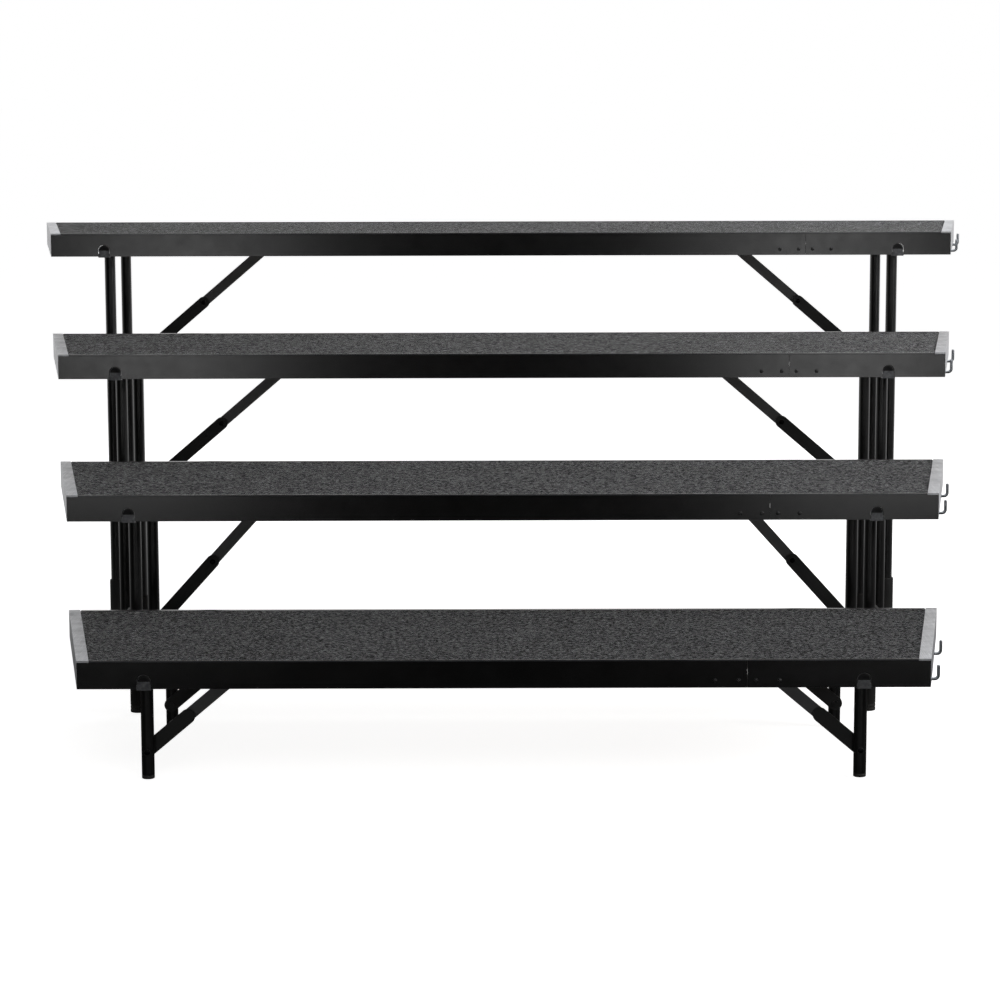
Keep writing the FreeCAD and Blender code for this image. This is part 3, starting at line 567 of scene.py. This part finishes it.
def eased_copy(node, kind, body, width):
    """A merged copy of a sheet metal node, with a small round on every edge."""
    shape = bmesh.new()
    shape.from_mesh(frame["nodes"][node].data)
    bmesh.ops.remove_doubles(shape, verts=shape.verts, dist=1e-6)
    bmesh.ops.dissolve_limit(
        shape, angle_limit=math.radians(0.5), verts=shape.verts, edges=shape.edges
    )
    mesh = bpy.data.meshes.new(node + "_eased")
    shape.to_mesh(mesh)
    shape.free()
    mesh.shade_smooth()
    mesh.set_sharp_from_angle(angle=math.radians(35))
    mesh.materials.clear()
    mesh.materials.append(material(kind))
    piece = bpy.data.objects.new(mesh.name, mesh)
    bpy.context.scene.collection.objects.link(piece)
    rounding = piece.modifiers.new("eased edges", "BEVEL")
    rounding.width = width
    rounding.segments = 2
    rounding.limit_method = "ANGLE"
    rounding.angle_limit = math.radians(50)
    rounding.harden_normals = True
    rounding.use_clamp_overlap = True
    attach(piece, body)
    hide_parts(node)
    return piece


# Settings


def colour_setting(name, code, description):
    """A colour that starts at an sRGB hex value."""
    return bpy.props.FloatVectorProperty(
        name=name, description=description, subtype="COLOR", default=linear(code), min=0.0, max=1.0
    )


def length_setting(name, size, description):
    """A length in metres."""
    return bpy.props.FloatProperty(
        name=name, description=description, default=size, min=0.0, subtype="DISTANCE", unit="LENGTH"
    )


class RiserFinish(bpy.types.PropertyGroup):
    """Colours of the riser, and sizes of its small detail."""

    carpet: colour_setting("Carpet", "#1b1b1c", "Middle shade of the carpet's fibres")
    carpet_dark: colour_setting("Carpet dark", "#040404", "Dark fibres of the carpet")
    carpet_light: colour_setting("Carpet light", "#59595b", "Pale fibres of the carpet")
    black: colour_setting("Black coat", "#060606", "Powder coat on the steel")
    black_dusty: colour_setting("Black coat, dusty", "#0e0e0e", "Powder coat under dust")
    black_rubbed: colour_setting("Black coat, rubbed", "#38383a", "Powder coat rubbed at edges")
    # Grey coat and its dusty shade are painted light: the links at the deck are black like the lower
    # links, and this grey stands in for the light they catch.
    grey: colour_setting("Grey coat", "#383839", "Coat on the links at the deck")
    grey_dusty: colour_setting("Grey coat, dusty", "#454546", "Coat on those links under dust")
    aluminium: colour_setting("Aluminium", "#b6b7ba", "Clean aluminium")
    aluminium_dull: colour_setting("Aluminium, handled", "#8e8f92", "Handling marks")
    aluminium_bright: colour_setting("Aluminium, drawn", "#ececee", "Brightest die lines")
    nosing: colour_setting("Nosing", "#242426", "Black anodising on the nosings")
    nosing_faded: colour_setting("Nosing, faded", "#38383a", "Faded anodising")
    zinc: colour_setting("Zinc", "#94979b", "Clean zinc plate")
    zinc_dull: colour_setting("Zinc, dull", "#6c6f73", "Dull patches of the zinc plate")
    rivet: colour_setting("Black zinc", "#1c1c1e", "Black zinc plate of the rivets")
    keeper: colour_setting("Keeper", "#6c6d6f", "Dull zinc plate of the keepers")
    keeper_dull: colour_setting("Keeper, dull", "#515254", "Dullest patches of the keepers")
    rubber: colour_setting("Rubber", "#0f0f0f", "Rubber of the feet")
    rubber_dust: colour_setting("Rubber dust", "#3a3936", "Floor dust on the rubber")
    plywood: colour_setting("Plywood", "#c6a274", "Pale grain of the board")
    plywood_dark: colour_setting("Plywood dark", "#a9835a", "Dark grain of the board")
    plywood_glue: colour_setting("Glue lines", "#2c1f14", "Glue between the plies")
    plywood_sealed: colour_setting("Sealed edge", "#4a3624", "Stained plies at the board's edges")
    edge_round: length_setting("Edge round", 0.6 * MM, "Round on the edges of sheet metal")
    weld: length_setting("Weld", 2.2 * MM, "Radius of the weld beads on the leg frames")


class RiserCamera(bpy.types.PropertyGroup):
    """The camera's place and angles, in the riser's frame."""

    place: bpy.props.FloatVectorProperty(
        name="Place", description="Where the camera stands",
        default=(-0.0139, -5.5926, 1.138), subtype="TRANSLATION", unit="LENGTH",
    )
    pitch: bpy.props.FloatProperty(
        name="Pitch", description="Turn of the camera below the horizon",
        default=math.radians(8.220), subtype="ANGLE", unit="ROTATION",
    )
    yaw: bpy.props.FloatProperty(
        name="Yaw", description="Turn of the camera towards +X",
        default=math.radians(0.101), subtype="ANGLE", unit="ROTATION",
    )
    roll: bpy.props.FloatProperty(
        name="Roll", description="Turn of the camera about its line of sight",
        default=math.radians(-0.134), subtype="ANGLE", unit="ROTATION",
    )
    lens: bpy.props.FloatProperty(
        name="Lens", description="Focal length on a 36 mm sensor, in millimetres",
        default=106.96, min=1.0, unit="CAMERA",
    )


# Operators


class RiserOperator:
    """What the operators share: they can be undone."""

    bl_options = {"REGISTER", "UNDO"}


class RISER_OT_deck(RiserOperator, bpy.types.Operator):
    """Give the boards their grain and lay the carpets."""

    bl_idname = "riser.deck"
    bl_label = "Boards and carpets"

    def execute(self, context):
        for tier in TIERS:
            finish_node(f"deck_panel_{tier}", "birch_plywood")
            self.lay_carpet(tier)
        return {"FINISHED"}

    def lay_carpet(self, tier):
        """A closed felt sheet over the CAD carpet's outline.

        A point is (u * w(v), v), where w runs straight from the front to the rear half
        width. Its height is the CAD top, less a small seeded unevenness, less a round
        that falls 1.4 mm over the last 2 mm at each edge.
        """
        node = f"deck_carpet_{tier}"
        low, high = (np.array(corner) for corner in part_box(node))
        corners = np.empty(len(frame["nodes"][node].data.vertices) * 3)
        frame["nodes"][node].data.vertices.foreach_get("co", corners)
        corners = corners.reshape(-1, 3)
        front_half = corners[corners[:, 1] < low[1] + 1e-4, 0].max()
        rear_half = high[0]
        edge = np.array([0, 0.4, 1.0, 2.0]) * MM
        depth = high[1] - low[1]
        v = np.concatenate([edge, np.linspace(5 * MM, depth - 5 * MM, 86), depth - edge[::-1]])
        middle = np.linspace(-1, 1, 300)[1:-1] * (1 - 5 * MM)
        u = np.concatenate([-1 + edge / rear_half, middle, 1 - edge[::-1] / rear_half])
        width = front_half + (rear_half - front_half) * v / depth
        x = u[None, :] * width[:, None]
        y = np.broadcast_to((low[1] + v)[:, None], x.shape)
        from_side = (1 - np.abs(u))[None, :] * width[:, None]
        from_end = np.minimum(v, depth - v)[:, None]
        fall = 1.4 * MM * np.clip(1 - np.minimum(from_side, from_end) / (2 * MM), 0, 1) ** 2
        uneven = np.random.default_rng(10 + tier).random(x.shape) * 0.22 * MM
        z = high[2] - fall - uneven * (fall < 1e-5)
        rows, columns = x.shape
        index = np.arange(rows * columns).reshape(rows, columns)
        quads = np.stack([index[:-1, :-1], index[:-1, 1:], index[1:, 1:], index[1:, :-1]], -1)
        rim = np.concatenate([index[0, :-1], index[:-1, -1], index[-1, :0:-1], index[:0:-1, 0]])
        hem = rows * columns + np.arange(len(rim))
        sides = np.stack([rim, hem, np.roll(hem, -1), np.roll(rim, -1)], -1)
        top = np.stack([x, y, z], -1).reshape(-1, 3)
        under = top[rim]
        under[:, 2] = low[2] + 0.02 * MM
        faces = quads.reshape(-1, 4).tolist() + sides.tolist() + [hem.tolist()]
        points = np.concatenate([top, under])
        carpet = finished(
            f"carpet_{tier}", points, faces, "needled_carpet", "riser", 70
        )
        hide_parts(node)


class RISER_OT_rails(RiserOperator, bpy.types.Operator):
    """Finish the folded rails, the splice plates behind their seams, and their screws."""

    bl_idname = "riser.rails"
    bl_label = "Rails"

    def execute(self, context):
        ease = context.scene.riser_finish.edge_round
        for tier in TIERS:
            for edge in ("front", "rear"):
                eased_copy(f"{edge}_rail_{tier}", "powder_coat_rail", "riser", ease)
        finish_node("splice_plates", "powder_coat_rail")
        self.screw_heads()
        return {"FINISHED"}

    def screw_heads(self):
        """Pan heads with a crossed recess, over the CAD's screws.

        A head's height is 2.2 mm * (1 - (r / R)^3.2), less a cross 1.1 mm wide and 0.9 mm
        deep that ends at 0.6 R. Its shank is a plain turned bar.
        """
        tall, recess = 2.2 * MM, 0.9 * MM
        parts = []
        sides = 40
        angle = np.linspace(0, 2 * np.pi, sides, endpoint=False)
        share = np.array([1.0, 0.99, 0.95, 0.88, 0.78, 0.66, 0.56, 0.48, 0.38, 0.28, 0.18, 0.08])
        share = share[:, None]
        for middle, half in solids_of("splice_screws"):
            radius = half[0]
            rail = middle[1] - half[1] + tall
            across = share * radius * np.cos(angle)
            up = share * radius * np.sin(angle)
            cross = (np.minimum(np.abs(across), np.abs(up)) < 0.55 * MM) & (share < 0.6)
            height = tall * (1 - share ** 3.2) - recess * cross
            cap = np.stack([middle[0] + across, rail - height, middle[2] + up], -1)
            parts.append((cap.reshape(-1, 3), ring_faces(len(share), sides)))
            end = half[1] * 2 - tall
            shank = [(2.4 * MM, 0.05 * MM), (2.4 * MM, end - 0.6 * MM), (1.8 * MM, end)]
            parts.append(turned(shank, (middle[0], rail, middle[2]), (0, 1, 0), 16))
        heads = joined("splice_screw_heads", parts, "powder_coat_rail", "riser", 30)
        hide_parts("splice_screws")


class RISER_OT_edges(RiserOperator, bpy.types.Operator):
    """Finish the nosings and the aluminium end trims."""

    bl_idname = "riser.edges"
    bl_label = "Nosings and trims"

    def execute(self, context):
        ease = context.scene.riser_finish.edge_round
        eased_copy("edge_nosings", "nosing_anodised", "riser", ease)
        for tier in TIERS:
            eased_copy(f"end_trims_{tier}", "aluminium_trim", "riser", ease)
        return {"FINISHED"}


class RISER_OT_legs(RiserOperator, bpy.types.Operator):
    """Finish the leg frames, and give them weld beads and rubber feet."""

    bl_idname = "riser.legs"
    bl_label = "Legs"

    def execute(self, context):
        for tier in TIERS:
            for side in SIDES:
                finish_node(f"leg_frame_{tier}_{side}", "powder_coat_tube")
                self.welds(tier, side)
                # The pivot plugs are black end caps that also paint the shade in the open tube ends.
                self.plugs(tier, side)
                self.feet(tier, side)
        return {"FINISHED"}

    def welds(self, tier, side):
        """Beads where the legs meet the pivot tube and, on the higher tiers, the cross tube.

        A leg of radius R meets the pivot tube of radius P at x = R cos t, y = R sin t,
        z = -sqrt(P^2 - x^2) below the tube's axis. The cross tube of radius C meets a leg
        at x = C cos t, z = C sin t, y = sqrt(R^2 - x^2) from the leg's axis. A bead faces
        half way between the two tubes' normals.
        """
        leg, pivot, cross = LEG_RADIUS[tier], PIVOT_RADIUS, CROSS_RADIUS
        low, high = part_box(f"leg_frame_{tier}_{side}")
        middle_x = (low[0] + high[0]) / 2
        axis_z = high[2] - pivot
        # The lower link turns on the cross tube's axis
        cross_z = brace_pin(tier, side)[2]
        weld = bpy.context.scene.riser_finish.weld
        t = np.linspace(0, 2 * np.pi, 96, endpoint=False)
        zero = np.zeros_like(t)
        parts = []
        for foot, _ in solids_of(f"leg_tips_{tier}_{side}"):
            x, y = leg * np.cos(t), leg * np.sin(t)
            z = -np.sqrt(pivot ** 2 - x ** 2)
            path = np.stack([middle_x + x, foot[1] + y, axis_z + z], -1)
            normal = np.stack([x / leg + x / pivot, y / leg, z / pivot], -1)
            parts.append(bead(path, unit(normal), weld, 22))
            if tier == 1:
                continue
            inward = np.sign((low[1] + high[1]) / 2 - foot[1])
            x, z = cross * np.cos(t), cross * np.sin(t)
            y = np.sqrt(leg ** 2 - x ** 2) * inward
            path = np.stack([middle_x + x, foot[1] + y, cross_z + z], -1)
            normal = np.stack([x / cross + x / leg, y / leg, z / cross + zero], -1)
            parts.append(bead(path, unit(normal), weld * 0.9, 16))
        body = f"leg_{tier}_{side}"
        joined(f"welds_{tier}_{side}", parts, "powder_coat_tube", body, 60)

    def plugs(self, tier, side):
        """Black plastic plugs in the pivot tube's ends: turned discs with a rounded rim. They are partly
        real end caps and partly painted shade, a dark fill where the open tube end is in shade.

        They fill the bore of 9.6 mm radius, start 0.4 mm inside the ends and reach 8 mm in.
        """
        low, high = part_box(f"leg_frame_{tier}_{side}")
        middle_x = (low[0] + high[0]) / 2
        axis_z = high[2] - PIVOT_RADIUS
        r = 9.55 * MM
        profile = [
            (r, 8 * MM), (r, 1.2 * MM), (r - 0.3 * MM, 0.8 * MM), (r - 1.2 * MM, 0.4 * MM),
            (r - 3.5 * MM, 0.4 * MM), (r - 4.2 * MM, 0.9 * MM), (1 * MM, 0.9 * MM),
        ]
        ends = [(low[1], 1), (high[1], -1)]
        parts = [turned(profile, (middle_x, y, axis_z), (0, way, 0), 32) for y, way in ends]
        body = f"leg_{tier}_{side}"
        joined(f"pivot_plugs_{tier}_{side}", parts, "moulded_plastic", body, 40)

    def feet(self, tier, side):
        """Turned rubber feet: a plain sole on the lowest tier, else a tall ringed sleeve."""
        parts = []
        for middle, half in solids_of(f"leg_tips_{tier}_{side}"):
            r = half[0]
            if tier == 1:
                profile = [
                    (r - 1.2 * MM, 0), (r - 0.3 * MM, 0.4 * MM), (r, 1.2 * MM), (r, 5.2 * MM),
                    (r - 0.5 * MM, 5.8 * MM), (r - 1.7 * MM, 5.95 * MM), (r - 1.7 * MM, 28 * MM),
                ]
            else:
                profile = [
                    (r - 2 * MM, 0), (r - 0.5 * MM, 0.5 * MM), (r, 1.8 * MM), (r, 5 * MM),
                    (r - 0.6 * MM, 6 * MM), (r - 0.6 * MM, 7 * MM), (r, 8 * MM), (r, 11 * MM),
                    (r - 0.6 * MM, 12 * MM), (r - 0.6 * MM, 13 * MM), (r, 14 * MM), (r, 82 * MM),
                    (r - 0.4 * MM, 84.2 * MM), (r - 1.2 * MM, 85 * MM), (r - 2.4 * MM, 85 * MM),
                    (r - 2.95 * MM, 84.4 * MM), (r - 2.95 * MM, 6.2 * MM),
                ]
            parts.append(turned(profile, (middle[0], middle[1], 0.0), (0, 0, 1), 40))
        body = f"leg_{tier}_{side}"
        feet = joined(f"feet_{tier}_{side}", parts, "moulded_rubber", body, 40)
        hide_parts(f"leg_tips_{tier}_{side}")


def joint_place(name):
    """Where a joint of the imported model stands."""
    joints = frame["record"]["behaviour"]["joints"]
    return np.array(next(joint["pos_m"] for joint in joints if joint["name"] == name))


def brace_pin(tier, side):
    """Where a lower link is pinned to its leg frame."""
    return joint_place(f"brace_lower_turn_{tier}_{side}")


class RISER_OT_braces(RiserOperator, bpy.types.Operator):
    """Finish the brace links, their rivets and brackets, and the keepers and catches."""

    bl_idname = "riser.braces"
    bl_label = "Braces"

    def execute(self, context):
        for tier in TIERS:
            for side in SIDES:
                finish_node(f"brace_lower_{tier}_{side}", "powder_coat_dull")
                # The upper links get a grey coat as painted light; they are black like the lower links.
                finish_node(f"brace_upper_{tier}_{side}", "powder_coat_link")
                self.knee_rivets(tier, side)
        finish_node("brace_brackets", "powder_coat_tube")
        finish_node("pivot_keepers", "keeper_zinc")
        finish_node("tier_catches", "powder_coat_tube")
        return {"FINISHED"}

    def knee_rivets(self, tier, side):
        """Domes over the rivets at the knee, and over the short legs' rivets.

        The knee is on the straight line from the pin on the leg to the pin at the deck.
        The lower link's length is half of straight - reach + drop on the two lower tiers,
        and half of straight + reach - drop on the two higher ones.
        """
        pin = brace_pin(tier, side)
        deck_pin = joint_place(f"brace_upper_turn_{tier}_{side}")
        line = deck_pin - pin
        straight = np.linalg.norm(line)
        reach, drop = abs(line[0]), line[2]
        fold = drop - reach if tier <= 2 else reach - drop
        knee = pin + line * (straight + fold) / 2 / straight
        low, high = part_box(f"brace_upper_{tier}_{side}")
        radius, height = 5.1 * MM, 2.6 * MM
        seat = 1.0 * MM
        ends = [(high[1] - seat, 1)]
        if tier == 1:
            ends.append((low[1] + seat, -1))
        domes = [rivet_dome((knee[0], y, knee[2]), (0, way, 0), radius, height) for y, way in ends]
        body = f"brace_upper_{tier}_{side}"
        joined(f"knee_rivets_{tier}_{side}", domes, "black_zinc", body, 50)
        if tier > 1:
            low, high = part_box(f"brace_lower_{tier}_{side}")
            dome = rivet_dome((knee[0], low[1] + seat, knee[2]), (0, -1, 0), radius, height)
            body = f"brace_lower_{tier}_{side}"
            joined(f"knee_heads_{tier}_{side}", [dome], "black_zinc", body, 50)
            return
        low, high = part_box(f"leg_frame_{tier}_{side}")
        domes = []
        for foot, half in solids_of(f"leg_tips_{tier}_{side}"):
            way = np.sign(foot[1] - (low[1] + high[1]) / 2)
            y = foot[1] + (half[0] + 0.8 * MM) * way
            domes.append(rivet_dome((pin[0], y, pin[2]), (0, way, 0), radius, height))
        body = f"leg_{tier}_{side}"
        joined(f"leg_rivets_{tier}_{side}", domes, "black_zinc", body, 50)


class RISER_OT_hooks(RiserOperator, bpy.types.Operator):
    """Bend the hooks that join one riser to the next."""

    bl_idname = "riser.hooks"
    bl_label = "Side hooks"

    def execute(self, context):
        """Each hook is a round rod along a bent line, with a rounded tip.

        The line runs out of the end trim, turns up round a quarter circle, and rises. A
        point is line + r * (cos t * across + sin t * Y), where across is square to the
        line in its plane, and r falls as a quarter circle over the last 2.7 mm.
        """
        parts = []
        rod, bend = 2.75 * MM, 6 * MM
        sides = 24
        t = np.linspace(0, 2 * np.pi, sides, endpoint=False)[None, :, None]
        depth_way = np.array([0.0, 1.0, 0.0])
        for middle, half in solids_of("gang_hooks"):
            low, high = middle - half, middle + half
            start = np.array([low[0], middle[1], low[2] + rod])
            corner = np.array([high[0] - rod - bend, middle[1], start[2] + bend])
            turn = np.linspace(0, np.pi / 2, 12)
            zero = np.zeros_like(turn)
            arc = corner + bend * np.stack([np.sin(turn), zero, -np.cos(turn)], -1)
            top = high[2] - rod
            rounding = np.linspace(0, np.radians(84), 7)
            tip = np.stack([0 * rounding + high[0] - rod, 0 * rounding + middle[1],
                            top + rod * np.sin(rounding)], -1)
            line = np.concatenate([start[None], arc, tip])
            radius = np.concatenate([np.full(1 + len(arc), rod), rod * np.cos(rounding)])
            across = np.concatenate([
                [(0.0, 0.0, -1.0)],
                np.stack([np.sin(turn), zero, -np.cos(turn)], -1),
                np.tile((1.0, 0.0, 0.0), (len(tip), 1)),
            ])
            ring = np.cos(t) * across[:, None] + np.sin(t) * depth_way
            points = line[:, None] + radius[:, None, None] * ring
            parts.append((points.reshape(-1, 3), ring_faces(len(line), sides)))
        hooks = joined("side_hooks", parts, "zinc_plate", "riser", 60)
        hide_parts("gang_hooks")
        return {"FINISHED"}


class RISER_OT_stage(RiserOperator, bpy.types.Operator):
    """Build the floor, the world, the lamps and the camera."""

    bl_idname = "riser.stage"
    bl_label = "Stage"

    def execute(self, context):
        self.floor()
        self.world(context.scene)
        self.lamps()
        self.camera(context.scene)
        context.scene.view_settings.view_transform = "Standard"
        return {"FINISHED"}

    def floor(self):
        """White to the camera with a faint shadow, and a dim grey as light.

        To a mirror it is a dark cloth in front of the riser and white paper behind it, and
        a camera under it sees through.
        """
        mesh = bpy.data.meshes.new("floor")
        corners = [(-40, -40, -0.0005), (40, -40, -0.0005), (40, 80, -0.0005), (-40, 80, -0.0005)]
        mesh.from_pydata(corners, [], [(0, 1, 2, 3)])
        floor = bpy.data.objects.new("floor", mesh)
        bpy.context.scene.collection.objects.link(floor)
        paper, tree = blank_material("white_paper_floor")
        glow = add(tree, "ShaderNodeEmission", {"Color": (1, 1, 1), "Strength": 0.88})
        lit = add(tree, "ShaderNodeBsdfDiffuse", {"Color": (0.6, 0.6, 0.6)})
        white = add(tree, "ShaderNodeAddShader", {0: glow.outputs[0], 1: lit.outputs[0]})
        dim = add(tree, "ShaderNodeBsdfDiffuse", {"Color": (0.35, 0.35, 0.35)})
        cloth = add(tree, "ShaderNodeBsdfDiffuse", {"Color": (0.03, 0.03, 0.03)})
        place = add(tree, "ShaderNodeTexCoord").outputs["Object"]
        depth = add(tree, "ShaderNodeSeparateXYZ", {"Vector": place}).outputs["Y"]
        behind = add(tree, "ShaderNodeMapRange", {"Value": depth, "From Min": 0.0, "From Max": 2.0})
        mirrored = add(
            tree, "ShaderNodeMixShader",
            {0: behind.outputs[0], 1: cloth.outputs[0], 2: glow.outputs[0]},
        )
        rays = add(tree, "ShaderNodeLightPath")
        unseen = add(
            tree, "ShaderNodeMixShader",
            {0: rays.outputs["Is Glossy Ray"], 1: dim.outputs[0], 2: mirrored.outputs[0]},
        )
        seen = add(
            tree, "ShaderNodeMixShader",
            {0: rays.outputs["Is Camera Ray"], 1: unseen.outputs[0], 2: white.outputs[0]},
        )
        clear = add(tree, "ShaderNodeBsdfTransparent")
        side = add(tree, "ShaderNodeNewGeometry")
        from_below = add(
            tree, "ShaderNodeMath",
            {0: side.outputs["Backfacing"], 1: rays.outputs["Is Camera Ray"]}, operation="MULTIPLY",
        )
        sided = add(
            tree, "ShaderNodeMixShader",
            {0: from_below.outputs[0], 1: seen.outputs[0], 2: clear.outputs[0]},
        )
        add(tree, "ShaderNodeOutputMaterial", {"Surface": sided.outputs[0]})
        mesh.materials.append(paper)

    def world(self, scene):
        """White to the camera and behind the riser, a soft grey as light, dark in front."""
        world = bpy.data.worlds.new("studio")
        scene.world = world
        world.use_nodes = True
        tree = world.node_tree
        tree.nodes.clear()
        rays = add(tree, "ShaderNodeLightPath")
        white = add(tree, "ShaderNodeBackground", {"Color": (1, 1, 1), "Strength": 1.0})
        soft = add(tree, "ShaderNodeBackground", {"Color": (1, 1, 1), "Strength": 0.20})
        way = add(tree, "ShaderNodeTexCoord").outputs["Generated"]
        depth = add(tree, "ShaderNodeSeparateXYZ", {"Vector": way}).outputs["Y"]
        room = add(
            tree, "ShaderNodeMapRange",
            {"Value": depth, "From Min": -0.5, "From Max": 0.3, "To Min": 0.01, "To Max": 1.0},
        )
        mirrored = add(tree, "ShaderNodeBackground", {"Color": (1, 1, 1), "Strength": room.outputs[0]})
        unseen = add(
            tree, "ShaderNodeMixShader",
            {0: rays.outputs["Is Glossy Ray"], 1: soft.outputs[0], 2: mirrored.outputs[0]},
        )
        seen = add(
            tree, "ShaderNodeMixShader",
            {0: rays.outputs["Is Camera Ray"], 1: unseen.outputs[0], 2: white.outputs[0]},
        )
        add(tree, "ShaderNodeOutputWorld", {"Surface": seen.outputs[0]})

    def lamps(self):
        """Broad lamps overhead, behind, beside and in front, and strips that the rails mirror."""
        self.lamp("overhead", (1.6, 0.1, 2.7), (1.2, 0.0, 0.4), (2.2, 2.2), 62)
        behind = self.lamp("behind", (0.4, 3.6, 1.7), (0.2, 0.3, 0.7), (4.0, 1.2), 46)
        # The white paper is what the metal mirrors there
        behind.visible_glossy = False
        self.lamp("side", (2.7, -1.3, 1.25), (0.5, -0.1, 0.35), (0.9, 0.8), 27)
        self.lamp("front", (0.0, -4.5, 3.2), (0.0, 0.0, 0.4), (3.0, 1.6), 26)
        self.lamp("strip_left", (-1.07, -3.4, 0.42), (-0.70, 0.0, 0.48), (0.62, 0.8), 4.2)
        self.lamp("strip_right", (1.07, -3.4, 0.40), (0.70, 0.0, 0.46), (0.62, 0.76), 4.8)

    def lamp(self, name, place, target, size, watts):
        """A rectangular lamp at a place, turned towards its target and unseen by the camera."""
        light = bpy.data.lights.new(name, "AREA")
        light.shape = "RECTANGLE"
        light.size, light.size_y = size
        light.energy = watts
        lamp = bpy.data.objects.new(name, light)
        bpy.context.scene.collection.objects.link(lamp)
        aim = Vector(target) - Vector(place)
        turn = aim.to_track_quat("-Z", "Y").to_matrix().to_4x4()
        lamp.matrix_world = Matrix.Translation(place) @ turn
        lamp.visible_camera = False
        return lamp

    def camera(self, scene):
        """Turned by pitch below the horizon, then yaw towards +X, then roll about the view."""
        settings = scene.riser_camera
        data = bpy.data.cameras.new("camera")
        data.sensor_width = 36
        data.lens = settings.lens
        data.clip_end = 200
        camera = bpy.data.objects.new("camera", data)
        scene.collection.objects.link(camera)
        level, turn = settings.pitch, settings.yaw
        flat = math.cos(level)
        ahead = Vector((math.sin(turn) * flat, math.cos(turn) * flat, -math.sin(level)))
        right = Vector((math.cos(turn), -math.sin(turn), 0))
        up = right.cross(ahead)
        roll = settings.roll
        rolled_right = right * math.cos(roll) + up * math.sin(roll)
        rolled_up = up * math.cos(roll) - right * math.sin(roll)
        turned_to = Matrix((rolled_right, rolled_up, -ahead)).transposed()
        camera.matrix_world = Matrix.Translation(settings.place) @ turned_to.to_4x4()
        scene.camera = camera


class RISER_PT_panel(bpy.types.Panel):
    """Settings and steps of the riser."""

    bl_idname = "RISER_PT_panel"
    bl_label = "Choir riser"
    bl_space_type = "VIEW_3D"
    bl_region_type = "UI"
    bl_category = "Riser"

    def draw(self, context):
        for group in (context.scene.riser_finish, context.scene.riser_camera):
            for name in group.__annotations__:
                self.layout.prop(group, name)
        for step in STEPS:
            self.layout.operator(step.bl_idname)


STEPS = (
    RISER_OT_deck,
    RISER_OT_rails,
    RISER_OT_edges,
    RISER_OT_legs,
    RISER_OT_braces,
    RISER_OT_hooks,
    RISER_OT_stage,
)
CLASSES = (RiserFinish, RiserCamera, *STEPS, RISER_PT_panel)


def register():
    for item in CLASSES:
        bpy.utils.register_class(item)
    bpy.types.Scene.riser_finish = bpy.props.PointerProperty(type=RiserFinish)
    bpy.types.Scene.riser_camera = bpy.props.PointerProperty(type=RiserCamera)


def unregister():
    del bpy.types.Scene.riser_camera
    del bpy.types.Scene.riser_finish
    for item in reversed(CLASSES):
        bpy.utils.unregister_class(item)


def main():
    register()
    bpy.ops.riser.deck()
    bpy.ops.riser.rails()
    bpy.ops.riser.edges()
    bpy.ops.riser.legs()
    bpy.ops.riser.braces()
    bpy.ops.riser.hooks()
    bpy.ops.riser.stage()


if __name__ == "__main__":
    main()
